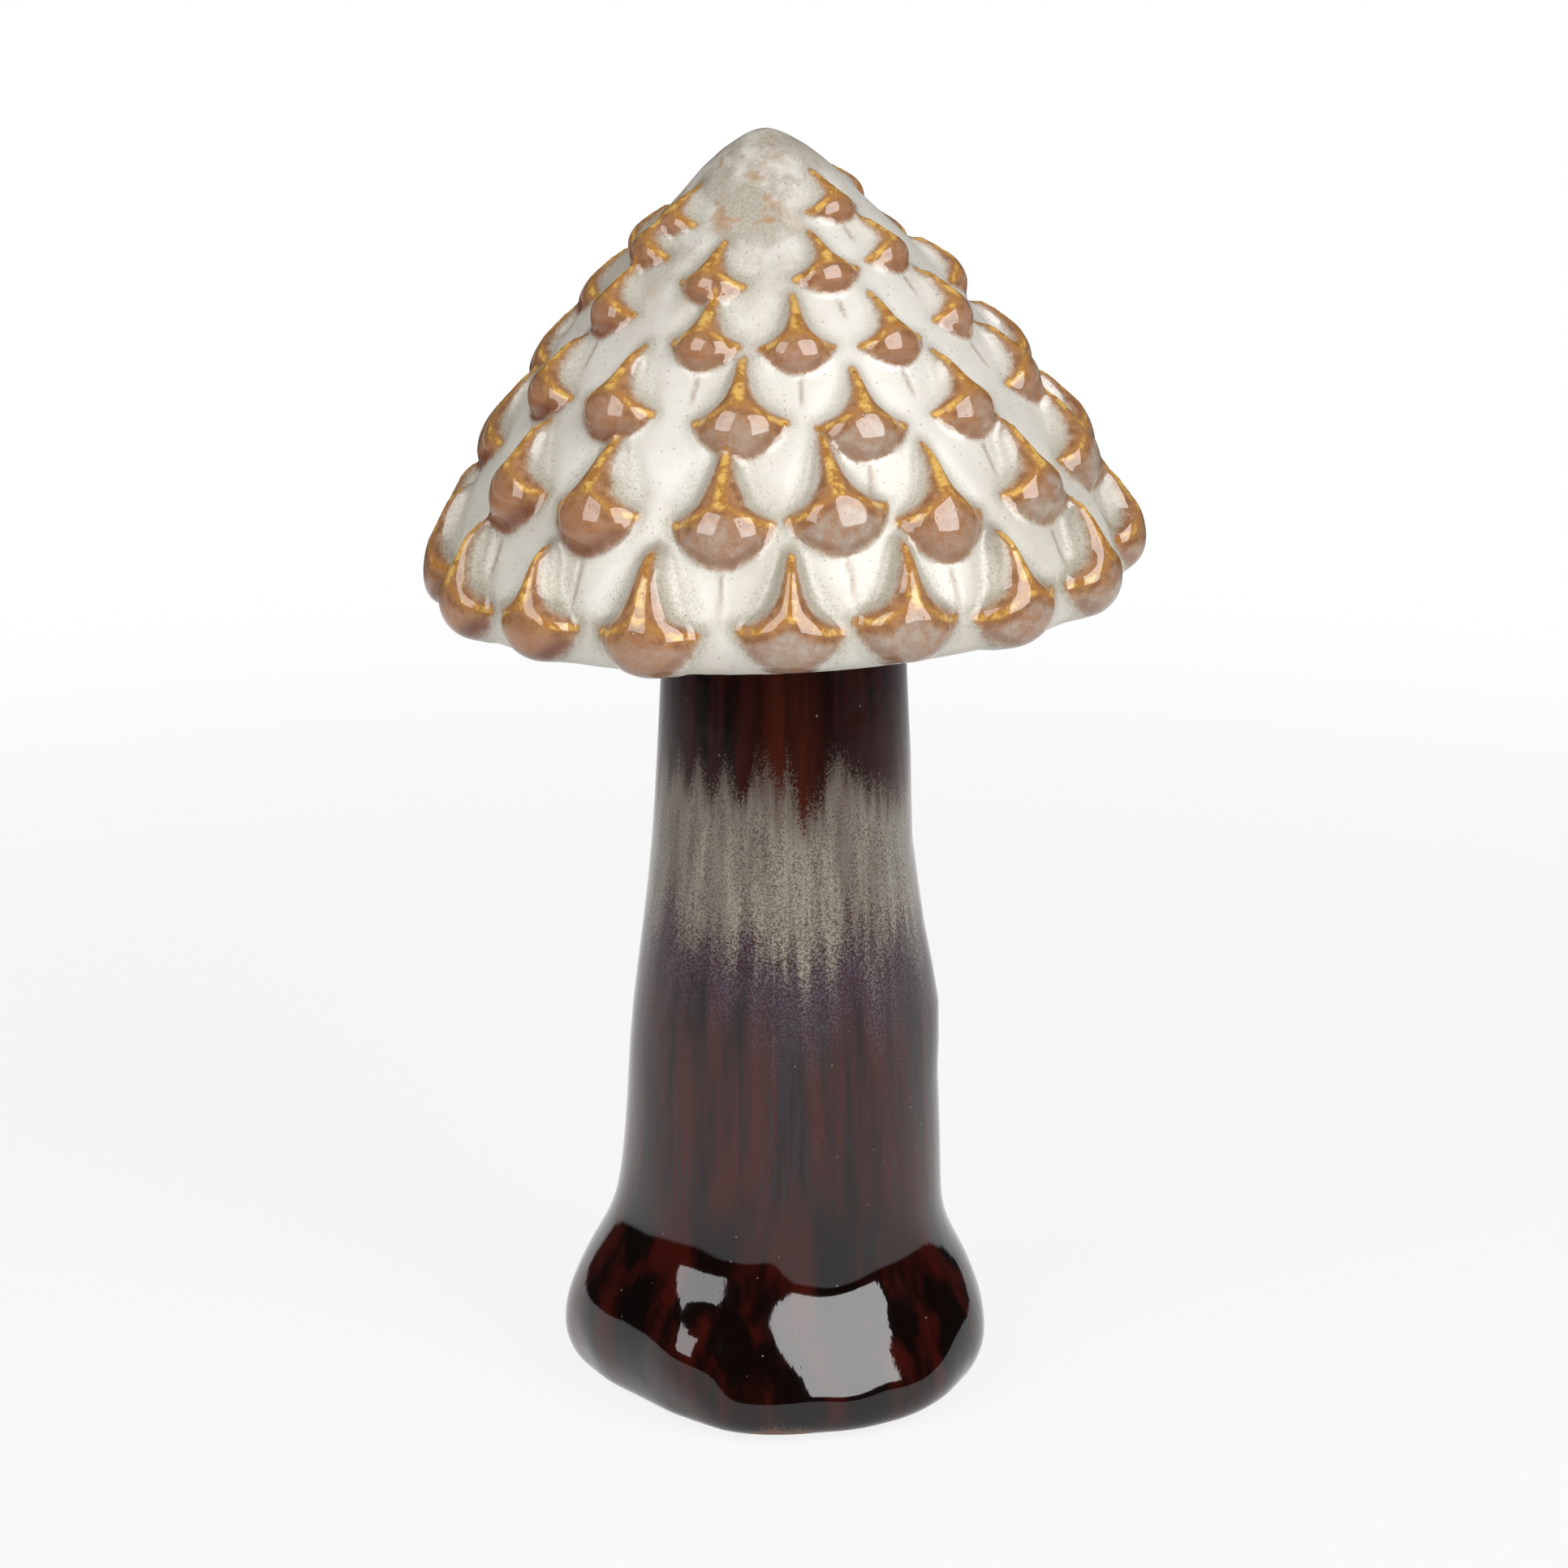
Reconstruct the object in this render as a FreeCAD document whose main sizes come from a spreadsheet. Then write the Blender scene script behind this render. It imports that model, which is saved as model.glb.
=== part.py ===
import FreeCAD, Part
import math
import os

import Sketcher
from FreeCAD import Placement, Rotation, Vector

# Ceramic mushroom ornament: a hollow stem with a flared foot, and a cap with rings of raised
# scales that rests on the stem, turns on it and lifts off it. Millimetres, +Z up. The origin is
# on the ground under the middle of the foot, and the cap leans a little towards -X.

SIZES = {
    # stem casting
    "stem_height": 144.0,
    "foot_height": 36.0,
    "foot_radius": 37.6,
    "foot_shift": -1.6,
    "waist_radius": 28.2,
    "neck_radius": 20.4,
    "stem_wall": 4.6,
    "shoulder_thickness": 8.0,
    # foot ring and foot plate
    "ring_outer_radius": 28.0,
    "ring_width": 6.0,
    "ring_height": 5.0,
    "ring_reach": 0.8,
    "plate_thickness": 5.0,
    "vent_radius": 1.5,
    # spigot in the mouth of the stem
    "spigot_radius": 14.0,
    "spigot_wall": 3.5,
    "spigot_rise": 16.0,
    "spigot_depth": 16.0,
    "spigot_edge": 1.2,
    # soft ring between stem and cap
    "seat_thickness": 1.6,
    "seat_outer_radius": 19.0,
    "seat_clearance": 0.3,
    # socket in the cap
    "socket_clearance": 0.5,
    "socket_wall": 5.0,
    "socket_headroom": 6.0,
    "socket_roof": 4.0,
    "collar_drop": 3.0,
    # cap casting
    "cap_lean": 2.4,
    "cap_height": 79.0,
    "cap_radius": 58.2,
    "cap_wall": 5.5,
    "wall_across_share": 1.3,
    "rim_drop": 7.0,
    "floor_thickness": 4.5,
    "scale_root": 4.0,
}

# Foot outline, from the ground up to the waist: share of the foot's height, share of its spread
# beyond the waist, share of its sideways shift.
FOOT_SHARES = [
    (0.000, 0.50, 1.00),
    (0.050, 0.74, 1.00),
    (0.120, 0.91, 1.00),
    (0.210, 0.99, 1.00),
    (0.310, 0.97, 1.00),
    (0.420, 0.82, 1.00),
    (0.540, 0.61, 1.00),
    (0.670, 0.36, 0.90),
    (0.820, 0.14, 0.70),
    (1.000, 0.00, 0.40),
]

# Shaft outline, from the waist up to the neck: share of the shaft's height, share of the waist's
# spread beyond the neck, share of the foot's sideways shift.
SHAFT_SHARES = [
    (0.080, 0.94, 0.22),
    (0.180, 0.86, 0.12),
    (0.300, 0.75, 0.08),
    (0.430, 0.50, 0.05),
    (0.570, 0.29, 0.03),
    (0.710, 0.18, 0.02),
    (0.850, 0.08, 0.01),
    (1.000, 0.00, 0.01),
]

# Cap outline between the scales, from the rim up: share of the cap's height, share of its radius.
CAP_SHARES = [
    (0.000, 0.974),
    (0.050, 1.000),
    (0.127, 0.985),
    (0.228, 0.915),
    (0.316, 0.850),
    (0.418, 0.762),
    (0.506, 0.675),
    (0.582, 0.595),
    (0.658, 0.510),
    (0.722, 0.435),
    (0.772, 0.373),
    (0.823, 0.305),
    (0.873, 0.240),
    (0.918, 0.185),
    (0.956, 0.125),
    (0.985, 0.065),
    (1.000, 0.020),
]

# Which outline points the hollows follow: in the stem from this one up, in the cap these ones.
STEM_HOLLOW_START = 6
CAP_HOLLOW_POINTS = [4, 6, 8, 10, 12]

# Rings of scales, from the rim up: number in the ring, turn of the first one from the front in
# degrees, then shares of the cap's height: level of the wings, keel length above the wings, lip
# length below them, then shares of the cap's radius: half width, rise over the cap.
RING_SHARES = {
    "rim": (16, 0.5, 0.108, 0.135, 0.106, 0.138, 0.090),
    "second": (16, 11.0, 0.325, 0.120, 0.125, 0.138, 0.076),
    "third": (12, 19.5, 0.492, 0.105, 0.110, 0.122, 0.068),
    "fourth": (12, 6.5, 0.630, 0.095, 0.095, 0.106, 0.060),
    "fifth": (8, 22.0, 0.752, 0.085, 0.070, 0.100, 0.054),
    "top": (5, 46.0, 0.862, 0.085, 0.060, 0.087, 0.049),
}

# Right half of one scale seen from outside, from the tip of the keel round the wing to the bottom
# of the lip: share of the half width, share of the keel length (above) or the lip length (below),
# share of the rise.
SCALE_SHARES = [
    (0.00, 1.00, 0.00),
    (0.20, 0.64, 0.06),
    (0.46, 0.30, 0.16),
    (1.00, 0.00, 0.30),
    (0.94, -0.34, 0.30),
    (0.60, -0.80, 0.14),
    (0.00, -1.00, 0.00),
]

doc = FreeCAD.newDocument("mushroom")
sheet = doc.addObject("Spreadsheet::Sheet", "sizes")
cells = []


def size(alias, content):
    """Writes one named size or formula into the sheet."""
    row = len(cells) + 1
    sheet.set(f"A{row}", alias)
    sheet.set(f"B{row}", str(content))
    sheet.setAlias(f"B{row}", alias)
    cells.append(alias)


def value(alias):
    return float(getattr(sheet, alias))


for alias, number in SIZES.items():
    size(alias, number)
doc.recompute()

size("foot_spread", "=foot_radius - waist_radius")
size("shaft_height", "=stem_height - foot_height")
size("shaft_spread", "=waist_radius - neck_radius")
size("ring_inner_radius", "=ring_outer_radius - ring_width")
size("plate_top", "=ring_height + plate_thickness")
size("shoulder_level", "=stem_height - shoulder_thickness")
size("spigot_bottom", "=stem_height - spigot_depth")
size("spigot_top", "=stem_height + spigot_rise")
size("spigot_bore", "=spigot_radius - spigot_wall")
size("spigot_roof_level", "=spigot_top - spigot_wall")
size("seat_top", "=stem_height + seat_thickness")
size("seat_inner_radius", "=spigot_radius + seat_clearance")
size("socket_bore", "=spigot_radius + socket_clearance")
size("socket_radius", "=socket_bore + socket_wall")
size("socket_roof_level", "=spigot_top + socket_headroom")
size("socket_top", "=socket_roof_level + socket_roof")
size("floor_bottom", "=rim_drop")
size("floor_top", "=floor_bottom + floor_thickness")
size("rim_level", "=seat_top + collar_drop - rim_drop")
size("wall_across", "=cap_wall * wall_across_share")
size("floor_radius", "=cap_radius - wall_across")
size("cap_hollow_start", "=-rim_drop")

stem_sections = []
for number, (height, spread, shift) in enumerate(FOOT_SHARES):
    size(f"foot_level_{number}", f"=ring_reach + (foot_height - ring_reach) * {height}")
    size(f"foot_size_{number}", f"=waist_radius + foot_spread * {spread}")
    size(f"foot_side_{number}", f"=foot_shift * {shift}")
    stem_sections.append((f"foot_level_{number}", f"foot_size_{number}", f"foot_side_{number}"))
for number, (height, spread, shift) in enumerate(SHAFT_SHARES):
    size(f"shaft_level_{number}", f"=foot_height + shaft_height * {height}")
    size(f"shaft_size_{number}", f"=neck_radius + shaft_spread * {spread}")
    size(f"shaft_side_{number}", f"=foot_shift * {shift}")
    stem_sections.append((f"shaft_level_{number}", f"shaft_size_{number}", f"shaft_side_{number}"))

cap_points = []
for number, (height, radius) in enumerate(CAP_SHARES):
    size(f"cap_level_{number}", f"=cap_height * {height}")
    size(f"cap_size_{number}", f"=cap_radius * {radius}")
    cap_points.append((f"cap_size_{number}", f"cap_level_{number}" if number else None))
doc.recompute()


def new_body(name):
    body = doc.addObject("PartDesign::Body", name)
    body.Label = name
    return body


def origin_feature(body, role):
    for feature in body.Origin.OriginFeatures:
        if feature.Role == role:
            return feature
    raise ValueError(role)


def new_sketch(body, name, role, offset=Placement()):
    sketch = body.newObject("Sketcher::SketchObject", name)
    sketch.AttachmentSupport = (origin_feature(body, role), [""])
    sketch.MapMode = "FlatFace"
    sketch.AttachmentOffset = offset
    return sketch


def bind(sketch, constraint, alias):
    """Adds a constraint that takes its value from the sheet."""
    index = sketch.addConstraint(constraint)
    sketch.setExpression(f"Constraints[{index}]", f"sizes.{alias}")


def circle(sketch, radius, side=None):
    """A circle on the middle of the sketch, or shifted along its first axis."""
    across = value(side) if side else 0
    edge = Part.Circle(Vector(across, 0, 0), Vector(0, 0, 1), value(radius))
    index = sketch.addGeometry(edge, False)
    if side:
        sketch.addConstraint(Sketcher.Constraint("PointOnObject", index, 3, -1))
        bind(sketch, Sketcher.Constraint("DistanceX", -1, 1, index, 3, across), side)
    else:
        sketch.addConstraint(Sketcher.Constraint("Coincident", index, 3, -1, 1))
    bind(sketch, Sketcher.Constraint("Radius", index, value(radius)), radius)


def section(body, name, level, radius, side=None):
    """A horizontal circle at a named level of the piece."""
    sketch = new_sketch(body, name, "XY_Plane", Placement(Vector(0, 0, value(level)), Rotation()))
    sketch.setExpression(".AttachmentOffset.Base.z", f"sizes.{level}")
    circle(sketch, radius, side)
    return sketch


def loft(body, name, kind, sections, ruled=False):
    """A skin through horizontal circles, added to the piece or taken from it."""
    sketches = []
    for number, (level, radius, side) in enumerate(sections):
        sketches.append(section(body, f"{name}_section_{number}", level, radius, side))
    feature = body.newObject(kind, name)
    feature.Profile = (sketches[0], [""])
    feature.Sections = [(sketch, [""]) for sketch in sketches[1:]]
    feature.Ruled = ruled
    doc.recompute()
    return feature


def outline(sketch, corners):
    """A closed outline of straight edges; each corner is two names, or None on an axis."""
    points = []
    for across, along in corners:
        points.append(Vector(value(across) if across else 0, value(along) if along else 0, 0))
    count = len(points)
    for number in range(count):
        sketch.addGeometry(Part.LineSegment(points[number], points[(number + 1) % count]), False)
    for number in range(count):
        after = (number + 1) % count
        sketch.addConstraint(Sketcher.Constraint("Coincident", number, 2, after, 1))
    for number, (across, along) in enumerate(corners):
        if across:
            distance = Sketcher.Constraint("DistanceX", -1, 1, number, 1, points[number].x)
            bind(sketch, distance, across)
        else:
            sketch.addConstraint(Sketcher.Constraint("PointOnObject", number, 1, -2))
        if along:
            distance = Sketcher.Constraint("DistanceY", -1, 1, number, 1, points[number].y)
            bind(sketch, distance, along)
        else:
            sketch.addConstraint(Sketcher.Constraint("PointOnObject", number, 1, -1))


def revolve(body, name, corners):
    """A round piece from an outline in radius and height."""
    sketch = new_sketch(body, f"{name}_outline", "XZ_Plane")
    outline(sketch, corners)
    feature = body.newObject("PartDesign::Revolution", name)
    feature.Profile = (sketch, [""])
    feature.ReferenceAxis = (sketch, ["V_Axis"])
    feature.Angle = 360
    doc.recompute()
    return feature


def bore(body, name, radius, offset=Placement()):
    """A round hole right through the piece along the sketch's normal, both ways."""
    sketch = new_sketch(body, f"{name}_outline", "XY_Plane", offset)
    circle(sketch, radius)
    feature = body.newObject("PartDesign::Pocket", name)
    feature.Profile = (sketch, [""])
    feature.Type = "ThroughAll"
    feature.Midplane = True
    doc.recompute()
    return feature


def make_stem_shell():
    body = new_body("stem_shell")
    loft(body, "stem_skin", "PartDesign::AdditiveLoft", stem_sections)
    hollow = [("ring_reach", "ring_outer_radius", None), ("plate_top", "ring_outer_radius", None)]
    for level, radius, side in stem_sections[STEM_HOLLOW_START:-1]:
        size(f"hollow_{radius}", f"={radius} - stem_wall")
        hollow.append((level, f"hollow_{radius}", side))
    size("hollow_top_size", "=neck_radius - stem_wall")
    hollow.append(("shoulder_level", "hollow_top_size", None))
    doc.recompute()
    loft(body, "stem_hollow", "PartDesign::SubtractiveLoft", hollow, True)
    bore(body, "stem_mouth", "spigot_radius")
    return body


def make_foot_ring():
    body = new_body("foot_ring")
    revolve(body, "foot_ring_turned", [
        ("ring_inner_radius", None),
        ("ring_outer_radius", None),
        ("ring_outer_radius", "ring_height"),
        ("ring_inner_radius", "ring_height"),
    ])
    return body


def make_foot_plate():
    body = new_body("foot_plate")
    revolve(body, "foot_plate_turned", [
        ("vent_radius", "ring_height"),
        ("ring_outer_radius", "ring_height"),
        ("ring_outer_radius", "plate_top"),
        ("vent_radius", "plate_top"),
    ])
    return body


def make_neck_spigot():
    body = new_body("neck_spigot")
    turned = revolve(body, "neck_spigot_turned", [
        ("spigot_bore", "spigot_bottom"),
        ("spigot_radius", "spigot_bottom"),
        ("spigot_radius", "spigot_top"),
        ("vent_radius", "spigot_top"),
        ("vent_radius", "spigot_roof_level"),
        ("spigot_bore", "spigot_roof_level"),
    ])
    chamfer = body.newObject("PartDesign::Chamfer", "neck_spigot_edge")
    chamfer.Base = (turned, [upper_edge(turned, value("spigot_radius"), value("spigot_top"))])
    chamfer.setExpression("Size", "sizes.spigot_edge")
    doc.recompute()
    return body


def upper_edge(feature, radius, level):
    """The name of the round edge of a given radius at a given level."""
    for number, edge in enumerate(feature.Shape.Edges):
        if isinstance(edge.Curve, Part.Circle):
            same_radius = math.isclose(edge.Curve.Radius, radius)
            if same_radius and math.isclose(edge.Curve.Center.z, level):
                return f"Edge{number + 1}"
    raise ValueError("no such edge")


def make_seat_ring():
    body = new_body("seat_ring")
    revolve(body, "seat_ring_turned", [
        ("seat_inner_radius", "stem_height"),
        ("seat_outer_radius", "stem_height"),
        ("seat_outer_radius", "seat_top"),
        ("seat_inner_radius", "seat_top"),
    ])
    return body


def make_cap_socket():
    body = new_body("cap_socket")
    revolve(body, "cap_socket_turned", [
        ("socket_bore", "seat_top"),
        ("socket_radius", "seat_top"),
        ("socket_radius", "socket_top"),
        ("vent_radius", "socket_top"),
        ("vent_radius", "socket_roof_level"),
        ("socket_bore", "socket_roof_level"),
    ])
    return body


def cap_placement():
    """The cap's own frame: the middle of its rim on the stem's axis, leaning towards -X."""
    lean = Rotation(Vector(0, 1, 0), -value("cap_lean"))
    return Placement(Vector(0, 0, value("rim_level")), lean)


def make_cap_underside():
    body = new_body("cap_underside")
    revolve(body, "cap_underside_turned", [
        (None, "floor_bottom"),
        ("floor_radius", "floor_bottom"),
        ("floor_radius", "floor_top"),
        (None, "floor_top"),
    ])
    upright = Rotation(Vector(0, 1, 0), value("cap_lean"))
    bore(body, "cap_underside_hole", "socket_radius", Placement(Vector(0, 0, 0), upright))
    body.Placement = cap_placement()
    return body


def cap_outline_radius(level):
    """Radius of the cap between its scales at a level above the rim."""
    levels = [value(along) if along else 0 for across, along in cap_points]
    radii = [value(across) for across, along in cap_points]
    for number in range(len(levels) - 1):
        if levels[number] <= level <= levels[number + 1]:
            part = (level - levels[number]) / (levels[number + 1] - levels[number])
            return radii[number] + part * (radii[number + 1] - radii[number])
    raise ValueError("level outside the cap")


def scale_placement(turn, level, keel, lip):
    """Where a scale lies on the cap: first axis across, second up the slope, third outwards."""
    upper = cap_outline_radius(level + keel)
    lower = cap_outline_radius(level - lip)
    outward = Vector(math.sin(math.radians(turn)), -math.cos(math.radians(turn)), 0)
    upright = Vector(0, 0, 1)
    uphill = (outward * (upper - lower) + upright * (keel + lip)).normalize()
    normal = (outward * (keel + lip) + upright * (lower - upper)).normalize()
    place = outward * cap_outline_radius(level) + upright * level
    return Placement(place, Rotation(uphill.cross(normal), uphill, normal, "XYZ"))


def flat_face(corners):
    return Part.Face(Part.makePolygon(corners + [corners[0]]))


def scale_solid(half_width, keel, lip, rise, depth):
    """A scale with a sharp keel, wings and a rounded lip, its root sunk below the cap's face."""
    half = []
    for across, along, height in SCALE_SHARES:
        reach = keel if along > 0 else lip
        half.append(Vector(across * half_width, along * reach, height * rise))
    upper = half + [Vector(-point.x, point.y, point.z) for point in reversed(half[1:-1])]
    lower = [Vector(point.x, point.y, -depth) for point in upper]
    crest = Vector(0, 0, rise)
    faces = [flat_face(lower)]
    for number in range(len(upper)):
        after = (number + 1) % len(upper)
        faces.append(flat_face([upper[number], upper[after], crest]))
        faces.append(flat_face([lower[number], lower[after], upper[after], upper[number]]))
    solid = Part.Solid(Part.Shell(faces))
    if solid.Volume < 0:
        solid.reverse()
    return solid


def make_scale_ring(ring):
    """All the scales of one ring, as one object of separate solids in the cap's frame."""
    count, first_turn, level, keel, lip, half_width, rise = RING_SHARES[ring]
    height = value("cap_height")
    radius = value("cap_radius")
    scale = scale_solid(half_width * radius, keel * height, lip * height, rise * radius,
                        value("scale_root"))
    scales = []
    for number in range(count):
        turn = first_turn + 360 * number / count
        placed = scale.copy()
        placed.Placement = scale_placement(turn, level * height, keel * height, lip * height)
        scales.append(placed)
    feature = doc.addObject("Part::Feature", f"{ring}_scales")
    feature.Shape = Part.makeCompound(scales)
    return feature


def make_cap_dome():
    skin = new_body("cap_skin")
    revolve(skin, "cap_skin_turned", [(None, None)] + cap_points + [(None, cap_points[-1][1])])
    hollow = new_body("cap_hollow")
    inside = [(None, "cap_hollow_start"), ("floor_radius", "cap_hollow_start")]
    inside.append(("floor_radius", "floor_top"))
    for number in CAP_HOLLOW_POINTS:
        across, along = cap_points[number]
        size(f"hollow_{across}", f"={across} - wall_across")
        inside.append((f"hollow_{across}", along))
    inside.append((None, inside[-1][1]))
    doc.recompute()
    revolve(hollow, "cap_hollow_turned", inside)
    solid_cap = doc.addObject("Part::MultiFuse", "solid_cap")
    solid_cap.Shapes = [skin] + [make_scale_ring(ring) for ring in RING_SHARES]
    dome = doc.addObject("Part::Cut", "cap_dome")
    dome.Label = "cap_dome"
    dome.Base = solid_cap
    dome.Tool = hollow
    dome.Placement = cap_placement()
    doc.recompute()
    return dome


pieces = [
    make_stem_shell(),
    make_foot_ring(),
    make_foot_plate(),
    make_neck_spigot(),
    make_seat_ring(),
    make_cap_socket(),
    make_cap_underside(),
    make_cap_dome(),
]
doc.recompute()

for feature in doc.Objects:
    if "Invalid" in feature.State or "Error" in feature.State:
        raise RuntimeError(f"{feature.Name} failed")
for piece in pieces:
    if piece.Shape.isNull() or not piece.Shape.isValid() or len(piece.Shape.Solids) != 1:
        raise RuntimeError(f"{piece.Label} is not one valid solid")

os.makedirs("parts", exist_ok=True)
for piece in pieces:
    piece.Shape.exportStep(f"parts/{piece.Label}.step")
    print(piece.Label, round(piece.Shape.Volume), "cubic millimetres")
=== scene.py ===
import math

import bmesh
import bpy
import numpy as np
from mathutils import Matrix, Vector


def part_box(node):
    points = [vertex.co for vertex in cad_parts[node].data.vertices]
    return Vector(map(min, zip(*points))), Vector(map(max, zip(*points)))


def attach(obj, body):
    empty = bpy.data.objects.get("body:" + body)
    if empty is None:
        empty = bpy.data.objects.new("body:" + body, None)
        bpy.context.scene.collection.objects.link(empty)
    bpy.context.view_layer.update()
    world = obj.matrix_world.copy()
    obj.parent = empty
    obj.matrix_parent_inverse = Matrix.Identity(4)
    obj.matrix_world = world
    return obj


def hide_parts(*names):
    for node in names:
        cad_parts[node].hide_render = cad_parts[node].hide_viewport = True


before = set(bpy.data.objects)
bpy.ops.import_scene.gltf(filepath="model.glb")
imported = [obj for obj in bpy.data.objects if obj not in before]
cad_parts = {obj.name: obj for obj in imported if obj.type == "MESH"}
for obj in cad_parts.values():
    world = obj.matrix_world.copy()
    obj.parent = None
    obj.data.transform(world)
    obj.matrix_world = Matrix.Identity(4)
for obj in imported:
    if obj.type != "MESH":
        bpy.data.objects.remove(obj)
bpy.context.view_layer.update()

# Ceramic mushroom ornament. Metres, +Z up, the photographed side towards -Y. A turn is an angle
# round the stem in degrees, from the photographed side towards +X.

MM = 0.001

# Stem: the same driving sizes as the construction.
FOOT_REACH = 0.8 * MM
FOOT_HEIGHT = 36 * MM
FOOT_RADIUS = 37.6 * MM
FOOT_SHIFT = -1.6 * MM
WAIST_RADIUS = 28.2 * MM
NECK_RADIUS = 20.4 * MM
STEM_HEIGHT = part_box("stem_shell")[1].z
FOOT_RING_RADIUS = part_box("foot_ring")[1].x
PLATE_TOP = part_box("foot_plate")[1].z
SPIGOT_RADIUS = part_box("neck_spigot")[1].x
STEM_WALL = 4.6 * MM
SHOULDER = 8 * MM
SHOULDER_EDGE = 0.9 * MM
# The hollow follows the outline from this point on, up to the last ones, which round the shoulder.
STEM_HOLLOW_FROM = 9
SHOULDER_POINTS = 3
STEM_SIDES = 96
STEM_SMOOTH_ANGLE = math.radians(50)

# Share of the foot's height, share of its spread beyond the waist, share of its sideways shift.
FOOT_SHARES = [
    (0.000, 0.50, 1.00),
    (0.020, 0.70, 1.00),
    (0.060, 0.84, 1.00),
    (0.116, 0.93, 1.00),
    (0.170, 0.98, 1.00),
    (0.227, 1.00, 1.00),
    (0.338, 0.95, 1.00),
    (0.446, 0.80, 1.00),
    (0.557, 0.59, 1.00),
    (0.665, 0.35, 0.95),
    (0.773, 0.16, 0.80),
    (0.880, 0.05, 0.60),
    (1.000, 0.00, 0.40),
]
# Share of the shaft's height, share of the waist's spread beyond the neck, share of the shift.
SHAFT_SHARES = [
    (0.080, 0.94, 0.22),
    (0.180, 0.86, 0.12),
    (0.300, 0.75, 0.08),
    (0.430, 0.50, 0.05),
    (0.570, 0.29, 0.03),
    (0.710, 0.18, 0.02),
    (0.850, 0.08, 0.01),
    (0.960, 0.02, 0.00),
]

# Dents and lobes pressed into the clay: turn, level, reach, and how far out (mm).
STEM_LOBES = [
    (-62, 3, 18, -3.0),
    (-40, 3, 18, -2.6),
    (-8, 2, 13, 1.6),
    (-56, 28, 13, -0.9),
    (-50, 16, 14, -0.8),
    (-28, 15, 11, 1.7),
    (-28, 26, 12, -1.0),
    (-8, 22, 15, -1.9),
    (-8, 13, 11, -0.6),
    (14, 21, 14, -3.0),
    (38, 23, 15, -2.4),
    (10, 2, 13, 1.4),
    (28, 2, 13, 1.8),
    (46, 4, 13, 1.4),
    (66, 14, 12, 0.5),
    (100, 10, 16, -0.8),
    (140, 8, 16, 0.8),
    (178, 11, 16, -0.8),
    (-142, 8, 16, 0.8),
    (-104, 10, 16, -0.7),
    (-78, 5, 12, -0.8),
    (84, 66, 15, 1.0),
    (84, 96, 14, -0.6),
    (-72, 44, 20, -0.4),
    (30, 50, 16, 0.4),
    (0, 58, 42, -1.6),
]

# Cap: its frame has its origin in the middle of the rim and leans towards -X.
CAP_LEAN = math.radians(-2.4)
COLLAR_ABOVE_RIM = 4 * MM
RIM_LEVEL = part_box("seat_ring")[1].z - COLLAR_ABOVE_RIM
CAP_HEIGHT = 79 * MM
CAP_RADIUS = 58.2 * MM
CAP_FLOOR_RADIUS = 51.05 * MM
CAP_FLOOR_TOP = 11.5 * MM
CAP_WALL_ACROSS = 7.15 * MM
CAP_SIDES = 96
CAP_VOXEL = 0.70 * MM
CAP_SMOOTHING = 5
CUP_SMOOTHING = 7
CUP_DEPTH = 0.5 * MM
SEAM_DEPTH = 0.3 * MM
RELIEF_ROUNDS = 70
CAP_SMOOTH_ANGLE = math.radians(60)

# Share of the cap's height, share of its radius, between the scales.
CAP_SHARES = [
    (0.000, 0.952),
    (0.020, 0.984),
    (0.060, 0.998),
    (0.127, 0.985),
    (0.228, 0.915),
    (0.316, 0.850),
    (0.418, 0.762),
    (0.506, 0.675),
    (0.582, 0.595),
    (0.658, 0.510),
    (0.722, 0.435),
    (0.772, 0.373),
    (0.823, 0.305),
    (0.873, 0.240),
    (0.918, 0.185),
    (0.956, 0.125),
    (0.985, 0.065),
    (1.000, 0.020),
]
# The points of it that the hollow follows inside the wall.
CAP_HOLLOW_POINTS = [5, 7, 9, 11, 13]

# Rings of scales from the rim up: half width, keel, lip and rise of a scale (mm), how many there
# are behind, then turn and level (mm over the rim) of those on the photographed side.
RINGS = {
    "rim": (8.2, 10.6, 10.2, 4.8, 7, [
        (-84, 11.6), (-63.5, 9.8), (-43.4, 9.6), (-21.9, 9.7), (1.5, 10.1),
        (20.5, 10.4), (40.9, 9.4), (61.6, 10.3), (84, 12.2),
    ]),
    "second": (7.8, 10.6, 10.2, 4.6, 8, [
        (-88, 31.6), (-59, 27.6), (-36.1, 26.8), (-10, 25.7), (10.9, 26.7), (30.9, 24.3),
        (55, 25.3), (78.7, 26.4),
    ]),
    "third": (7.0, 9.2, 8.6, 4.1, 5, [
        (-96, 43.6), (-67, 41.2), (-39.5, 41.2), (-7.8, 39.9), (19.9, 38.1), (47.6, 38.4), (77.5, 39.2),
    ]),
    "fourth": (5.8, 7.9, 6.9, 3.6, 5, [
        (-92, 54.0), (-60.5, 53.4), (-19.2, 50.4), (7.4, 49.7), (35.8, 49.0), (66.3, 50.4), (99, 53.2),
    ]),
    "fifth": (5.6, 7.0, 5.6, 3.2, 2, [
        (-63.8, 62.0), (-21.9, 58.6), (23, 59.5), (57, 60.6), (130, 58.0),
    ]),
    "top": (5.0, 6.4, 4.6, 2.7, 2, [
        (-60.4, 66.4), (44.3, 68.2),
    ]),
}
# The scales at the cap's left edge stand out less: turns, and the share of the rise at each.
WORN_TURNS = [-100, -80, -66]
WORN_RISES = [0.6, 0.72, 1.0]
# Scales whose edges the glaze and the mould have blunted, by ring and place in the list.
BLUNT = {("rim", 3), ("second", 3), ("second", 2), ("fourth", 2), ("fifth", 1), ("top", 0)}

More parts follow.
